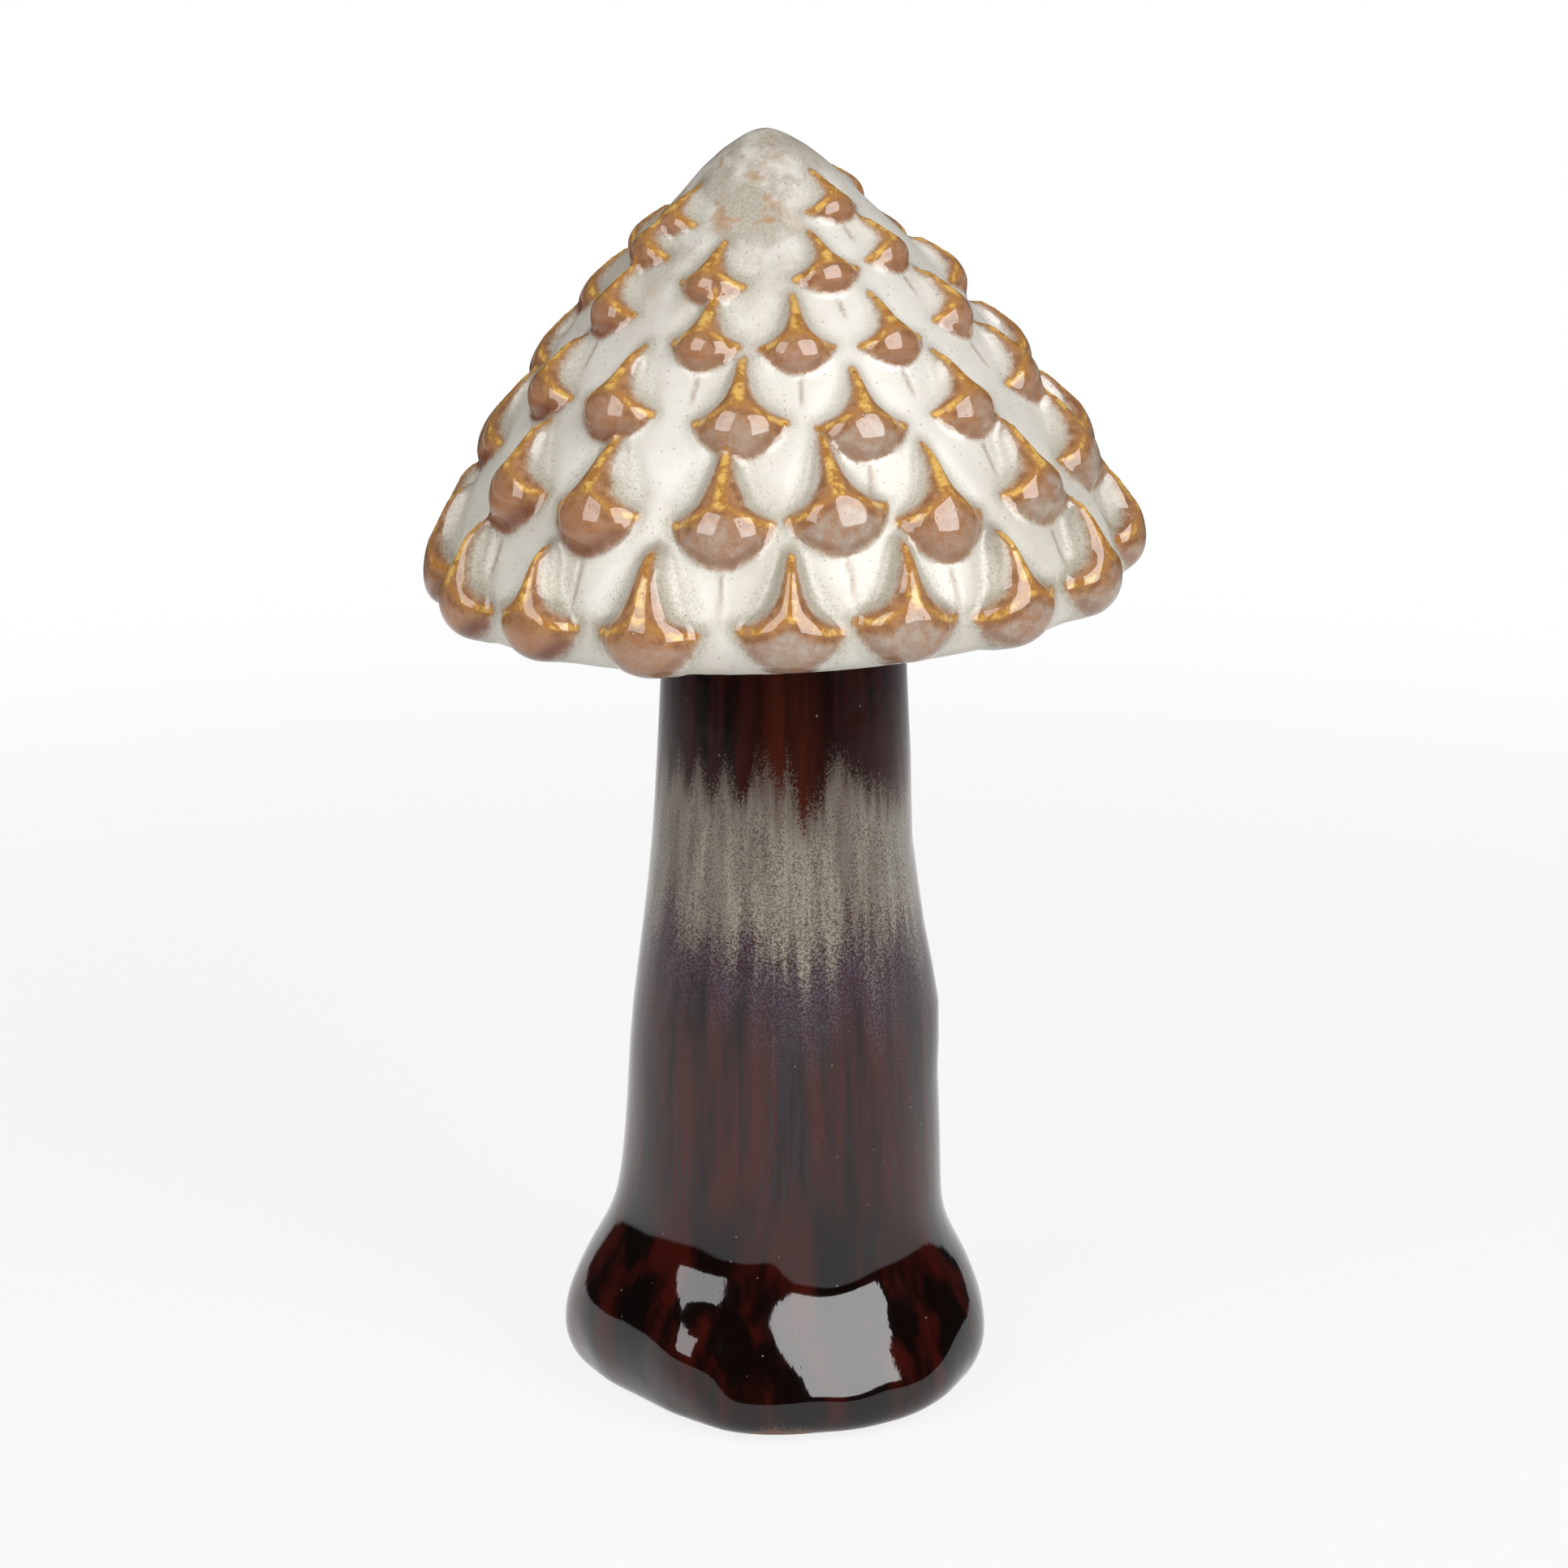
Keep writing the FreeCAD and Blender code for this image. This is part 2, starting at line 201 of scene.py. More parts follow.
# Right half of a scale, row by row from above the keel's tip to below the lip. Each point: share
# of the half width, share of the keel (up) or of the lip (down), share of the rise.
SCALE_ROWS = [
    ((0.00, 1.10, -0.40), (0.07, 1.09, -0.40), (0.14, 1.06, -0.42), (0.20, 1.04, -0.60)),
    ((0.00, 0.97, 0.18), (0.09, 0.95, 0.06), (0.17, 0.92, -0.18), (0.24, 0.90, -0.60)),
    ((0.00, 0.76, 0.62), (0.14, 0.74, 0.44), (0.25, 0.72, -0.02), (0.35, 0.70, -0.60)),
    ((0.00, 0.46, 0.80), (0.20, 0.44, 0.58), (0.36, 0.42, 0.02), (0.50, 0.40, -0.60)),
    ((0.00, 0.20, 0.92), (0.28, 0.14, 0.68), (0.58, 0.06, 0.10), (0.80, 0.06, -0.60)),
    ((0.00, 0.00, 1.02), (0.34, -0.10, 0.90), (0.72, -0.22, 0.68), (1.07, -0.25, -0.02)),
    ((0.00, -0.36, 1.00), (0.38, -0.42, 0.86), (0.76, -0.50, 0.56), (0.98, -0.54, -0.30)),
    ((0.00, -0.74, 0.72), (0.34, -0.76, 0.60), (0.60, -0.78, 0.24), (0.76, -0.82, -0.55)),
    ((0.00, -0.98, 0.00), (0.20, -0.96, -0.04), (0.36, -0.92, -0.14), (0.48, -0.95, -0.60)),
]
# The same for a blunt scale.
BLUNT_ROWS = [
    ((0.00, 1.06, -0.40), (0.12, 1.05, -0.40), (0.24, 1.02, -0.42), (0.34, 1.00, -0.60)),
    ((0.00, 0.90, 0.18), (0.16, 0.88, 0.14), (0.30, 0.84, -0.10), (0.42, 0.82, -0.60)),
    ((0.00, 0.66, 0.50), (0.20, 0.64, 0.50), (0.40, 0.62, 0.04), (0.54, 0.60, -0.60)),
    ((0.00, 0.38, 0.66), (0.24, 0.36, 0.66), (0.50, 0.34, 0.12), (0.66, 0.34, -0.60)),
    ((0.00, 0.14, 0.84), (0.30, 0.10, 0.76), (0.66, 0.04, 0.26), (0.90, 0.04, -0.50)),
    ((0.00, -0.04, 0.94), (0.36, -0.12, 0.88), (0.74, -0.22, 0.62), (1.04, -0.24, -0.02)),
    ((0.00, -0.38, 0.98), (0.38, -0.44, 0.88), (0.76, -0.52, 0.54), (0.96, -0.56, -0.30)),
    ((0.00, -0.76, 0.70), (0.34, -0.78, 0.58), (0.60, -0.78, 0.24), (0.76, -0.84, -0.55)),
    ((0.00, -0.98, 0.00), (0.20, -0.96, -0.04), (0.36, -0.92, -0.14), (0.48, -0.95, -0.60)),
]
# The row that holds a scale's arms, and how crisp its keel and arms are.
ARM_ROW = 5
SHARP_CREASE = 0.35
BLUNT_CREASE = 0.1
# How much scales differ: sizes (share), turn (degrees), level (mm), lean (degrees).
SIZE_SPREAD = 0.05
TURN_SPREAD = 2
LEVEL_SPREAD = 0.8
LEAN_SPREAD = 5
PLACE_SEED = 7
TONE_SEED = 3
# Share of a scale's keel and lip over which the cap's slope is measured for it.
SLOPE_SHARE = 0.8

# Outlines of a scale's right half, in the same shares: the brown spade, the leaf-shaped scoop
# round its keel, and the lines that the keel and the arm follow.
SPADE_EDGE = [
    (0.00, 1.02), (0.08, 0.95), (0.14, 0.76), (0.19, 0.52), (0.26, 0.32), (0.36, 0.15),
    (0.50, 0.02), (0.68, -0.07), (0.88, -0.13), (1.07, -0.19), (1.05, -0.32), (0.94, -0.52),
    (0.74, -0.72), (0.48, -0.88), (0.24, -0.97), (0.00, -1.00),
]
LEAF_EDGE = [
    (0.00, 1.16), (0.22, 1.02), (0.46, 0.84), (0.70, 0.62), (0.90, 0.40), (1.04, 0.18),
    (1.12, -0.02), (1.16, -0.20), (1.12, -0.36), (0.98, -0.58), (0.76, -0.80), (0.48, -0.98),
    (0.22, -1.08), (0.00, -1.12),
]
KEEL_LINE = [(0.00, 0.92), (0.00, 0.00)]
ARM_LINE = [(0.00, 0.00), (0.34, -0.15), (0.70, -0.27), (1.00, -0.25)]
# How much wider a blunt scale's outlines are along its keel.
BLUNT_WIDENING = 1.25

# Widths of the glaze's marks on a scale: the keel at its foot and its tip, how far the brown ridge
# and the gold crest spread over it, the same for the arm, the grey halo and the seam below.
KEEL_WIDTHS = [2.7 * MM, 1.2 * MM]
RIDGE_ON_KEEL = 1.4
CREST_ON_KEEL = 1.1
RIDGE_ON_ARM = 2.2 * MM
CREST_ON_ARM = 1.4 * MM
HALO_OFFSET = 0.5 * MM
HALO_WIDTH = 3.2 * MM
SEAM_WIDTH = 0.7 * MM
# Distances over which the masks of spade, lip, cup and edge come in, out of or into the shape.
SPADE_FADE = (1.2 * MM, -1.1 * MM)
LIP_FADE = (-0.6 * MM, -3.2 * MM)
CUP_FADE = (0.9 * MM, -3.2 * MM)
EDGE_FADE = (-2.6 * MM, -0.4 * MM)
# Steps in which a mask's values become vertex weights.
WEIGHT_STEPS = 16


# Modelling helpers

def deselect():
    bpy.ops.object.select_all(action="DESELECT")


def only(piece):
    """Makes one object the selected and active one."""
    deselect()
    piece.select_set(True)
    bpy.context.view_layer.objects.active = piece


def settle(piece):
    """Puts the object's place into its mesh."""
    only(piece)
    bpy.ops.object.transform_apply(location=True, rotation=True, scale=True)


def apply_modifier(piece, name, kind, **settings):
    only(piece)
    modifier = piece.modifiers.new(name, kind)
    for setting, given in settings.items():
        setattr(modifier, setting, given)
    bpy.ops.object.modifier_apply(modifier=modifier.name)


def lathe(name, outline, sides):
    """A closed solid of revolution from (radius, level, shift along X), extruded ring by ring."""
    deselect()
    radius, level, shift = outline[0]
    bpy.ops.mesh.primitive_circle_add(
        vertices=sides, radius=radius, fill_type="NGON", location=(shift, 0, level)
    )
    piece = bpy.context.object
    piece.name = piece.data.name = name
    settle(piece)
    bpy.ops.object.mode_set(mode="EDIT")
    bpy.ops.mesh.select_all(action="SELECT")
    for after in outline[1:]:
        step = (after[2] - shift, 0, after[1] - level)
        bpy.ops.mesh.extrude_region_move(TRANSFORM_OT_translate={"value": step})
        grow = after[0] / radius
        middle = (after[2], 0, after[1])
        bpy.ops.transform.resize(value=(grow, grow, 1), center_override=middle)
        radius, level, shift = after
    bpy.ops.mesh.select_all(action="SELECT")
    bpy.ops.mesh.normals_make_consistent(inside=False)
    bpy.ops.object.mode_set(mode="OBJECT")
    return piece


def press(piece, place, move, reach):
    """Pushes the clay round the nearest vertex of the open edit mesh, fading out with reach."""
    bpy.ops.mesh.select_all(action="DESELECT")
    mesh = bmesh.from_edit_mesh(piece.data)
    nearest = min(mesh.verts, key=lambda vertex: (vertex.co - Vector(place)).length)
    nearest.select = True
    bmesh.update_edit_mesh(piece.data)
    bpy.ops.transform.translate(
        value=move, use_proportional_edit=True, proportional_edit_falloff="SMOOTH",
        proportional_size=reach,
    )


def outward(turn):
    angle = math.radians(turn)
    return Vector((math.sin(angle), -math.cos(angle), 0))


# Stem

def stem_outline():
    """The stem's outside, from the foot up to the shoulder."""
    points = []
    for height, spread, shift in FOOT_SHARES:
        radius = WAIST_RADIUS + (FOOT_RADIUS - WAIST_RADIUS) * spread
        level = FOOT_REACH + (FOOT_HEIGHT - FOOT_REACH) * height
        points.append((radius, level, FOOT_SHIFT * shift))
    for height, spread, shift in SHAFT_SHARES:
        radius = NECK_RADIUS + (WAIST_RADIUS - NECK_RADIUS) * spread
        level = FOOT_HEIGHT + (STEM_HEIGHT - FOOT_HEIGHT) * height
        points.append((radius, level, FOOT_SHIFT * shift))
    points.append((NECK_RADIUS, STEM_HEIGHT - SHOULDER_EDGE, 0))
    points.append((NECK_RADIUS - SHOULDER_EDGE / 3, STEM_HEIGHT - SHOULDER_EDGE / 3, 0))
    points.append((NECK_RADIUS - SHOULDER_EDGE, STEM_HEIGHT, 0))
    return points


def make_stem():
    outside = stem_outline()
    hollow = [(SPIGOT_RADIUS, STEM_HEIGHT, 0), (SPIGOT_RADIUS, STEM_HEIGHT - SHOULDER, 0)]
    hollow.append((NECK_RADIUS - STEM_WALL, STEM_HEIGHT - SHOULDER, 0))
    for radius, level, shift in reversed(outside[STEM_HOLLOW_FROM:-SHOULDER_POINTS]):
        if level < STEM_HEIGHT - SHOULDER:
            hollow.append((radius - STEM_WALL, level, shift))
    hollow.append((FOOT_RING_RADIUS, PLATE_TOP, 0))
    hollow.append((FOOT_RING_RADIUS, FOOT_REACH, 0))
    stem = lathe("stem_glazed", outside + hollow, STEM_SIDES)
    close_loop(stem)
    apply_modifier(stem, "round", "SUBSURF", levels=1, render_levels=1)
    bpy.ops.object.mode_set(mode="EDIT")
    for turn, level, reach, out in STEM_LOBES:
        radius = np.interp(level * MM, [p[1] for p in outside], [p[0] for p in outside])
        place = outward(turn) * radius + Vector((0, 0, level * MM))
        press(stem, place, outward(turn) * out * MM, reach * MM)
    bpy.ops.object.mode_set(mode="OBJECT")
    only(stem)
    bpy.ops.object.shade_smooth_by_angle(angle=STEM_SMOOTH_ANGLE)
    return stem


def close_loop(piece):
    """Takes away the first and last round faces of a lathed tube and bridges their edges."""
    only(piece)
    bpy.ops.object.mode_set(mode="EDIT")
    bpy.ops.mesh.select_all(action="DESELECT")
    mesh = bmesh.from_edit_mesh(piece.data)
    for face in mesh.faces:
        face.select = len(face.verts) > 4
    bmesh.update_edit_mesh(piece.data)
    bpy.ops.mesh.delete(type="ONLY_FACE")
    bpy.ops.mesh.select_mode(type="EDGE")
    bpy.ops.mesh.select_all(action="DESELECT")
    bpy.ops.mesh.select_non_manifold()
    bpy.ops.mesh.bridge_edge_loops()
    bpy.ops.mesh.select_all(action="SELECT")
    bpy.ops.mesh.normals_make_consistent(inside=False)
    bpy.ops.mesh.select_mode(type="VERT")
    bpy.ops.object.mode_set(mode="OBJECT")


# Cap

CAP_LEVELS = [height * CAP_HEIGHT for height, radius in CAP_SHARES]
CAP_RADII = [radius * CAP_RADIUS for height, radius in CAP_SHARES]


def cap_radius_at(level):
    return float(np.interp(level, CAP_LEVELS, CAP_RADII))


def make_scale(name, rows, sharp):
    """One scale of size 1, from a grid whose points are moved to their rows, on a closed root."""
    deselect()
    across = 2 * len(rows[0]) - 1
    bpy.ops.mesh.primitive_grid_add(x_subdivisions=across - 1, y_subdivisions=len(rows) - 1, size=2)
    piece = bpy.context.object
    piece.name = piece.data.name = name
    bpy.ops.object.mode_set(mode="EDIT")
    bpy.ops.mesh.select_mode(type="VERT")
    for number in range(across * len(rows)):
        row, column = divmod(number, across)
        side = column - across // 2
        share, along, height = rows[len(rows) - 1 - row][abs(side)]
        target = Vector((math.copysign(share, side), along, height))
        bpy.ops.mesh.select_all(action="DESELECT")
        mesh = bmesh.from_edit_mesh(piece.data)
        mesh.verts.ensure_lookup_table()
        mesh.verts[number].select = True
        bpy.ops.transform.translate(value=target - mesh.verts[number].co)
    crease_ridges(piece, rows, across, sharp)
    bpy.ops.mesh.select_all(action="DESELECT")
    bpy.ops.mesh.select_mode(type="EDGE")
    bpy.ops.mesh.select_non_manifold()
    bpy.ops.mesh.extrude_edges_move(TRANSFORM_OT_translate={"value": (0, 0, -1)})
    bpy.ops.mesh.edge_face_add()
    bpy.ops.mesh.select_all(action="SELECT")
    bpy.ops.mesh.normals_make_consistent(inside=False)
    bpy.ops.mesh.select_mode(type="VERT")
    bpy.ops.object.mode_set(mode="OBJECT")
    apply_modifier(piece, "round", "SUBSURF", levels=3, render_levels=3)
    return piece


def crease_ridges(piece, rows, across, sharp):
    """Keeps the keel and the two arms of a scale crisp."""
    middle = across // 2
    keel = {(len(rows) - 1 - row) * across + middle for row in range(1, ARM_ROW + 1)}
    arms = {(len(rows) - 1 - ARM_ROW) * across + middle + side for side in (-2, -1, 0, 1, 2)}
    bpy.ops.mesh.select_mode(type="EDGE")
    bpy.ops.mesh.select_all(action="DESELECT")
    mesh = bmesh.from_edit_mesh(piece.data)
    for edge in mesh.edges:
        ends = {vertex.index for vertex in edge.verts}
        edge.select = ends <= keel or ends <= arms
    bmesh.update_edit_mesh(piece.data)
    bpy.ops.transform.edge_crease(value=sharp)
    bpy.ops.mesh.select_mode(type="VERT")


def scale_frame(turn, level, keel, lip):
    """Where a scale lies: first axis across, second up the slope, third out of the cap."""
    upper, lower = level + keel * SLOPE_SHARE, level - lip * SLOPE_SHARE
    side = outward(turn)
    run = side * (cap_radius_at(upper) - cap_radius_at(lower)) + Vector((0, 0, upper - lower))
    uphill = run.normalized()
    across = Vector((math.cos(math.radians(turn)), math.sin(math.radians(turn)), 0))
    normal = across.cross(uphill).normalized()
    place = side * cap_radius_at(level) + Vector((0, 0, level))
    return Matrix((
        (across.x, uphill.x, normal.x, place.x),
        (across.y, uphill.y, normal.y, place.y),
        (across.z, uphill.z, normal.z, place.z),
        (0, 0, 0, 1),
    ))


def scale_places():
    """Every scale of the cap: its frame, half width, keel, lip, rise, whether it is blunt."""
    varied = np.random.default_rng(PLACE_SEED)
    places = []
    for ring, (half, keel, lip, rise, hidden, seen) in RINGS.items():
        first, last = seen[0][0] + 360, seen[-1][0]
        mean = sum(level for turn, level in seen) / len(seen)
        rest = []
        for number in range(1, hidden + 1):
            turn = last + (first - last) * number / (hidden + 1)
            turn += varied.uniform(-TURN_SPREAD, TURN_SPREAD)
            rest.append((turn, mean + varied.uniform(-LEVEL_SPREAD, LEVEL_SPREAD)))
        for number, (turn, level) in enumerate(seen + rest):
            grow = 1 + varied.uniform(-SIZE_SPREAD, SIZE_SPREAD, 3)
            flat = np.interp(turn, WORN_TURNS, WORN_RISES)
            sizes = np.array([half * grow[0], keel * grow[1], lip * grow[2], rise * grow[2] * flat]) * MM
            blunt = (ring, number) in BLUNT
            lean = math.radians(varied.uniform(-LEAN_SPREAD, LEAN_SPREAD))
            matrix = scale_frame(turn, level * MM, sizes[1], sizes[2]) @ Matrix.Rotation(lean, 4, "Z")
            places.append((matrix, *sizes, blunt))
    return places


def copy_scale(piece, matrix, half, keel, lip, rise):
    """A copy of a scale with its own mesh, stretched to its sizes and laid on the cap."""
    copy = piece.copy()
    copy.data = piece.data.copy()
    bpy.context.scene.collection.objects.link(copy)
    points = np.empty(len(copy.data.vertices) * 3)
    copy.data.vertices.foreach_get("co", points)
    points = points.reshape(-1, 3)
    points[:, 0] *= half
    points[:, 1] *= np.where(points[:, 1] > 0, keel, lip)
    points[:, 2] *= rise
    copy.data.vertices.foreach_set("co", points.ravel())
    copy.data.transform(matrix)
    return copy


def make_cap(places):
    outline = [(radius, level, 0) for radius, level in zip(CAP_RADII, CAP_LEVELS)]
    cap = lathe("cap_glazed", outline, CAP_SIDES)
    sharp_scale = make_scale("sharp_scale", SCALE_ROWS, SHARP_CREASE)
    blunt_scale = make_scale("blunt_scale", BLUNT_ROWS, BLUNT_CREASE)
    copies = []
    for matrix, half, keel, lip, rise, blunt in places:
        kind = blunt_scale if blunt else sharp_scale
        copies.append(copy_scale(kind, matrix, half, keel, lip, rise))
    deselect()
    for copy in copies:
        copy.select_set(True)
    cap.select_set(True)
    bpy.context.view_layer.objects.active = cap
    bpy.ops.object.join()
    for kind in (sharp_scale, blunt_scale):
        bpy.data.objects.remove(kind)
    apply_modifier(cap, "one_skin", "REMESH", mode="VOXEL", voxel_size=CAP_VOXEL)
    apply_modifier(cap, "glaze_flow", "SMOOTH", factor=0.5, iterations=CAP_SMOOTHING)
    hollow_out(cap)
    return cap


def hollow_out(cap):
    """Cuts the casting's hollow, with a recess for the floor at its mouth."""
    inside = [(CAP_FLOOR_RADIUS, -CAP_FLOOR_TOP, 0), (CAP_FLOOR_RADIUS, CAP_FLOOR_TOP, 0)]
    for number in CAP_HOLLOW_POINTS:
        inside.append((CAP_RADII[number] - CAP_WALL_ACROSS, CAP_LEVELS[number], 0))
    hollow = lathe("cap_inside", inside, CAP_SIDES)
    apply_modifier(cap, "hollow", "BOOLEAN", operation="DIFFERENCE", object=hollow, solver="MANIFOLD")
    bpy.data.objects.remove(hollow)


def read_points(mesh):
    points = np.empty(len(mesh.vertices) * 3)
    mesh.vertices.foreach_get("co", points)
    return points.reshape(-1, 3)


def smoothstep(low, high, values):
    part = np.clip((values - low) / (high - low), 0, 1)
    return part * part * (3 - 2 * part)


def bump(distance, width):
    """1 on a line, falling to 0 at a width from it."""
    return smoothstep(width, 0, distance)


def line_distance(x, y, line):
    """How far each point is from a line through the given points."""
    nearest = np.full(len(x), np.inf)
    for (x1, y1), (x2, y2) in zip(line, line[1:]):
        run = (x2 - x1) ** 2 + (y2 - y1) ** 2
        part = np.clip(((x - x1) * (x2 - x1) + (y - y1) * (y2 - y1)) / run, 0, 1)
        nearest = np.minimum(nearest, np.hypot(x - x1 - part * (x2 - x1), y - y1 - part * (y2 - y1)))
    return nearest


def outside(x, y, line):
    """Distance beyond a closed half outline, negative within it."""
    levels = [point[1] for point in reversed(line)]
    widths = [point[0] for point in reversed(line)]
    within = (x < np.interp(y, levels, widths)) & (y > levels[0]) & (y < levels[-1])
    return np.where(within, -1, 1) * line_distance(x, y, line)


def scale_masks(points, places):
    """How much each point of the cap belongs to a scale's spade, ridges, lip, cup or seam."""
    names = ("spade", "ridge", "crest", "lip", "cup", "edge", "halo", "seam", "tone")
    masks = {name: np.zeros(len(points)) for name in names}
    varied = np.random.default_rng(TONE_SEED)
    for matrix, half, keel, lip, rise, blunt in places:
        tone = varied.random()
        inverse = np.array(matrix.inverted())
        local = points @ inverse[:3, :3].T + inverse[:3, 3]
        # Only points this near the scale can lie in one of its marks
        near = (np.abs(local[:, 0]) < 1.6 * half) & (local[:, 1] < 1.5 * keel)
        near &= (local[:, 1] > -2.2 * lip) & (np.abs(local[:, 2]) < 2 * rise + 2 * MM)
        x, y = np.abs(local[near, 0]), local[near, 1]

        def sized(line):
            wide = half * BLUNT_WIDENING if blunt else half
            return [(u * (wide if v > 0.1 else half), v * (keel if v > 0 else lip)) for u, v in line]

        from_spade = outside(x, y, sized(SPADE_EDGE))
        from_leaf = outside(x, y, sized(LEAF_EDGE))
        from_keel = line_distance(x, y, sized(KEEL_LINE)) / np.interp(y / keel, [0, 1], KEEL_WIDTHS)
        from_arm = line_distance(x, y, sized(ARM_LINE))
        below = smoothstep(*LIP_FADE, y - np.interp(x, *zip(*sized(ARM_LINE))))
        within = smoothstep(*SPADE_FADE, from_spade)
        arm_crest = bump(from_arm, CREST_ON_ARM) * np.interp(x / half, [0.2, 0.7], [0.55, 1.0])
        cup = smoothstep(*CUP_FADE, from_leaf) * (1 - within) * smoothstep(-0.35, -0.05, y / lip)
        halo = bump(np.abs(from_spade - HALO_OFFSET), HALO_WIDTH)
        seam = smoothstep(-1.02, -1.12, y / lip) * smoothstep(-1.95, -1.5, y / lip)
        found = {
            "spade": within,
            "ridge": np.maximum(bump(from_keel, RIDGE_ON_KEEL), bump(from_arm, RIDGE_ON_ARM)),
            "crest": np.maximum(bump(from_keel, CREST_ON_KEEL), arm_crest),
            "lip": within * below,
            "cup": cup,
            "edge": within * smoothstep(*EDGE_FADE, from_spade) * below,
            "halo": halo * np.interp(y / lip, [-0.9, -0.2], [0.45, 1.0]),
            "seam": bump(x, SEAM_WIDTH) * seam,
        }
        for name, values in found.items():
            masks[name][near] = np.maximum(masks[name][near], values)
        masks["tone"][np.flatnonzero(near)[within > 0.02]] = tone
    masks["cup"] *= 1 - masks["spade"]
    masks["seam"] *= 1 - masks["spade"]
    return masks


def relief(mesh, rounds):
    """How far each vertex stands over the average of its surroundings, in mm, by smoothing."""
    points = read_points(mesh)
    ends = np.empty(len(mesh.edges) * 2, dtype=np.int64)
    mesh.edges.foreach_get("vertices", ends)
    first, second = ends.reshape(-1, 2).T
    count = np.bincount(ends, minlength=len(points))[:, None]
    smooth = points.copy()
    for _ in range(rounds):
        total = np.zeros_like(smooth)
        for axis in range(3):
            total[:, axis] = np.bincount(first, smooth[second, axis], len(points))
            total[:, axis] += np.bincount(second, smooth[first, axis], len(points))
        smooth = total / count
    normals = np.empty(len(points) * 3, dtype=np.float32)
    mesh.vertices.foreach_get("normal", normals)
    return ((points - smooth) * normals.reshape(-1, 3)).sum(1) / MM


def keep_mask(piece, name, values):
    """Stores values on the vertices for materials to read."""
    attribute = piece.data.attributes.new(name, "FLOAT", "POINT")
    attribute.data.foreach_set("value", values.astype(np.float32))


def displace(piece, name, weights, strength):
    """Moves the skin along its normals where the weights say."""
    group = piece.vertex_groups.new(name=name)
    for step in range(1, WEIGHT_STEPS + 1):
        chosen = np.flatnonzero(np.round(weights * WEIGHT_STEPS) == step)
        group.add(chosen.tolist(), step / WEIGHT_STEPS, "REPLACE")
    apply_modifier(
        piece, name, "DISPLACE", strength=strength, mid_level=0, vertex_group=name, direction="NORMAL"
    )
    piece.vertex_groups.clear()


def finish_cap(cap, places):
    """Scoops the cups, cuts the seams, stores the masks and leans the cap in its place."""
    masks = scale_masks(read_points(cap.data), places)
    displace(cap, "cups", masks["cup"], -CUP_DEPTH)
    apply_modifier(cap, "soften", "SMOOTH", factor=0.5, iterations=CUP_SMOOTHING)
    displace(cap, "seams", masks["seam"], -SEAM_DEPTH)
    for name, values in masks.items():
        keep_mask(cap, name, values)
    # The broad relief drives the painted shade of the cap's hollows.
    keep_mask(cap, "broad_relief", relief(cap.data, RELIEF_ROUNDS))
    cap.data.transform(Matrix.Translation((0, 0, RIM_LEVEL)) @ Matrix.Rotation(CAP_LEAN, 4, "Y"))
    only(cap)
    bpy.ops.object.shade_smooth_by_angle(angle=CAP_SMOOTH_ANGLE)


# Node helpers

def colour(red, green, blue):
    """A colour as seen on a screen, 0 to 255, as the linear colour that a shader takes."""
    linear = []
    for channel in (red, green, blue):
        share = channel / 255
        linear.append(share / 12.92 if share <= 0.04045 else ((share + 0.055) / 1.055) ** 2.4)
    return (*linear, 1.0)


class Nodes:
    """Short ways to add nodes to one tree."""

    def __init__(self, tree):
        self.tree = tree
        self.tree.nodes.clear()

    def feed(self, socket, given):
        if isinstance(given, bpy.types.NodeSocket):
            self.tree.links.new(given, socket)
        else:
            socket.default_value = given

    def add(self, kind, inputs=None, **settings):
        node = self.tree.nodes.new("ShaderNode" + kind)
        for setting, given in settings.items():
            setattr(node, setting, given)
        for name, given in (inputs or {}).items():
            self.feed(node.inputs[name], given)
        return node

    def math(self, operation, *values):
        node = self.add("Math", operation=operation)
        for socket, given in zip(node.inputs, values):
            self.feed(socket, given)
        return node.outputs[0]

    def times(self, first, second):
        return self.math("MULTIPLY", first, second)

    def axes(self, place):
        return self.add("SeparateXYZ", {"Vector": place}).outputs[:3]

    def mix(self, factor, first, second):
        node = self.add("Mix", data_type="RGBA")
        for number, given in ((0, factor), (6, first), (7, second)):
            self.feed(node.inputs[number], given)
        return node.outputs[2]

    def cover(self, under, mask, share, over):
        """Lays a colour over another one, by a share of what the mask says."""
        return self.mix(self.times(mask, share), under, over)

    def noise(self, place, scale, detail, roughness):
        node = self.add("TexNoise", {
            "Vector": place, "Scale": scale, "Detail": detail, "Roughness": roughness,
        })
        return node.outputs["Fac"]

    def step(self, values, low, high):
        """0 below low, 1 above high, smooth between; low over high turns it round."""
        node = self.add("MapRange", interpolation_type="SMOOTHSTEP")
        for name, given in (("Value", values), ("From Min", low), ("From Max", high)):
            self.feed(node.inputs[name], given)
        return node.outputs["Result"]

    def mask(self, name):
        return self.add("Attribute", attribute_name=name).outputs["Fac"]

    def group(self, tree, **inputs):
        node = self.add("Group", node_tree=tree)
        for name, given in inputs.items():
            self.feed(node.inputs[name.replace("_", " ")], given)
        return node.outputs


def new_group(name, inputs, outputs):
    """An empty shader node group with named inputs and outputs."""
    tree = bpy.data.node_groups.new(name, "ShaderNodeTree")
    nodes = Nodes(tree)
    for label, (kind, given) in inputs.items():
        socket = tree.interface.new_socket(label, in_out="INPUT", socket_type="NodeSocket" + kind)
        if given is not None:
            socket.default_value = given
    for label, kind in outputs.items():
        tree.interface.new_socket(label, in_out="OUTPUT", socket_type="NodeSocket" + kind)
    given = tree.nodes.new("NodeGroupInput").outputs
    taken = tree.nodes.new("NodeGroupOutput").inputs
    return tree, nodes, given, taken


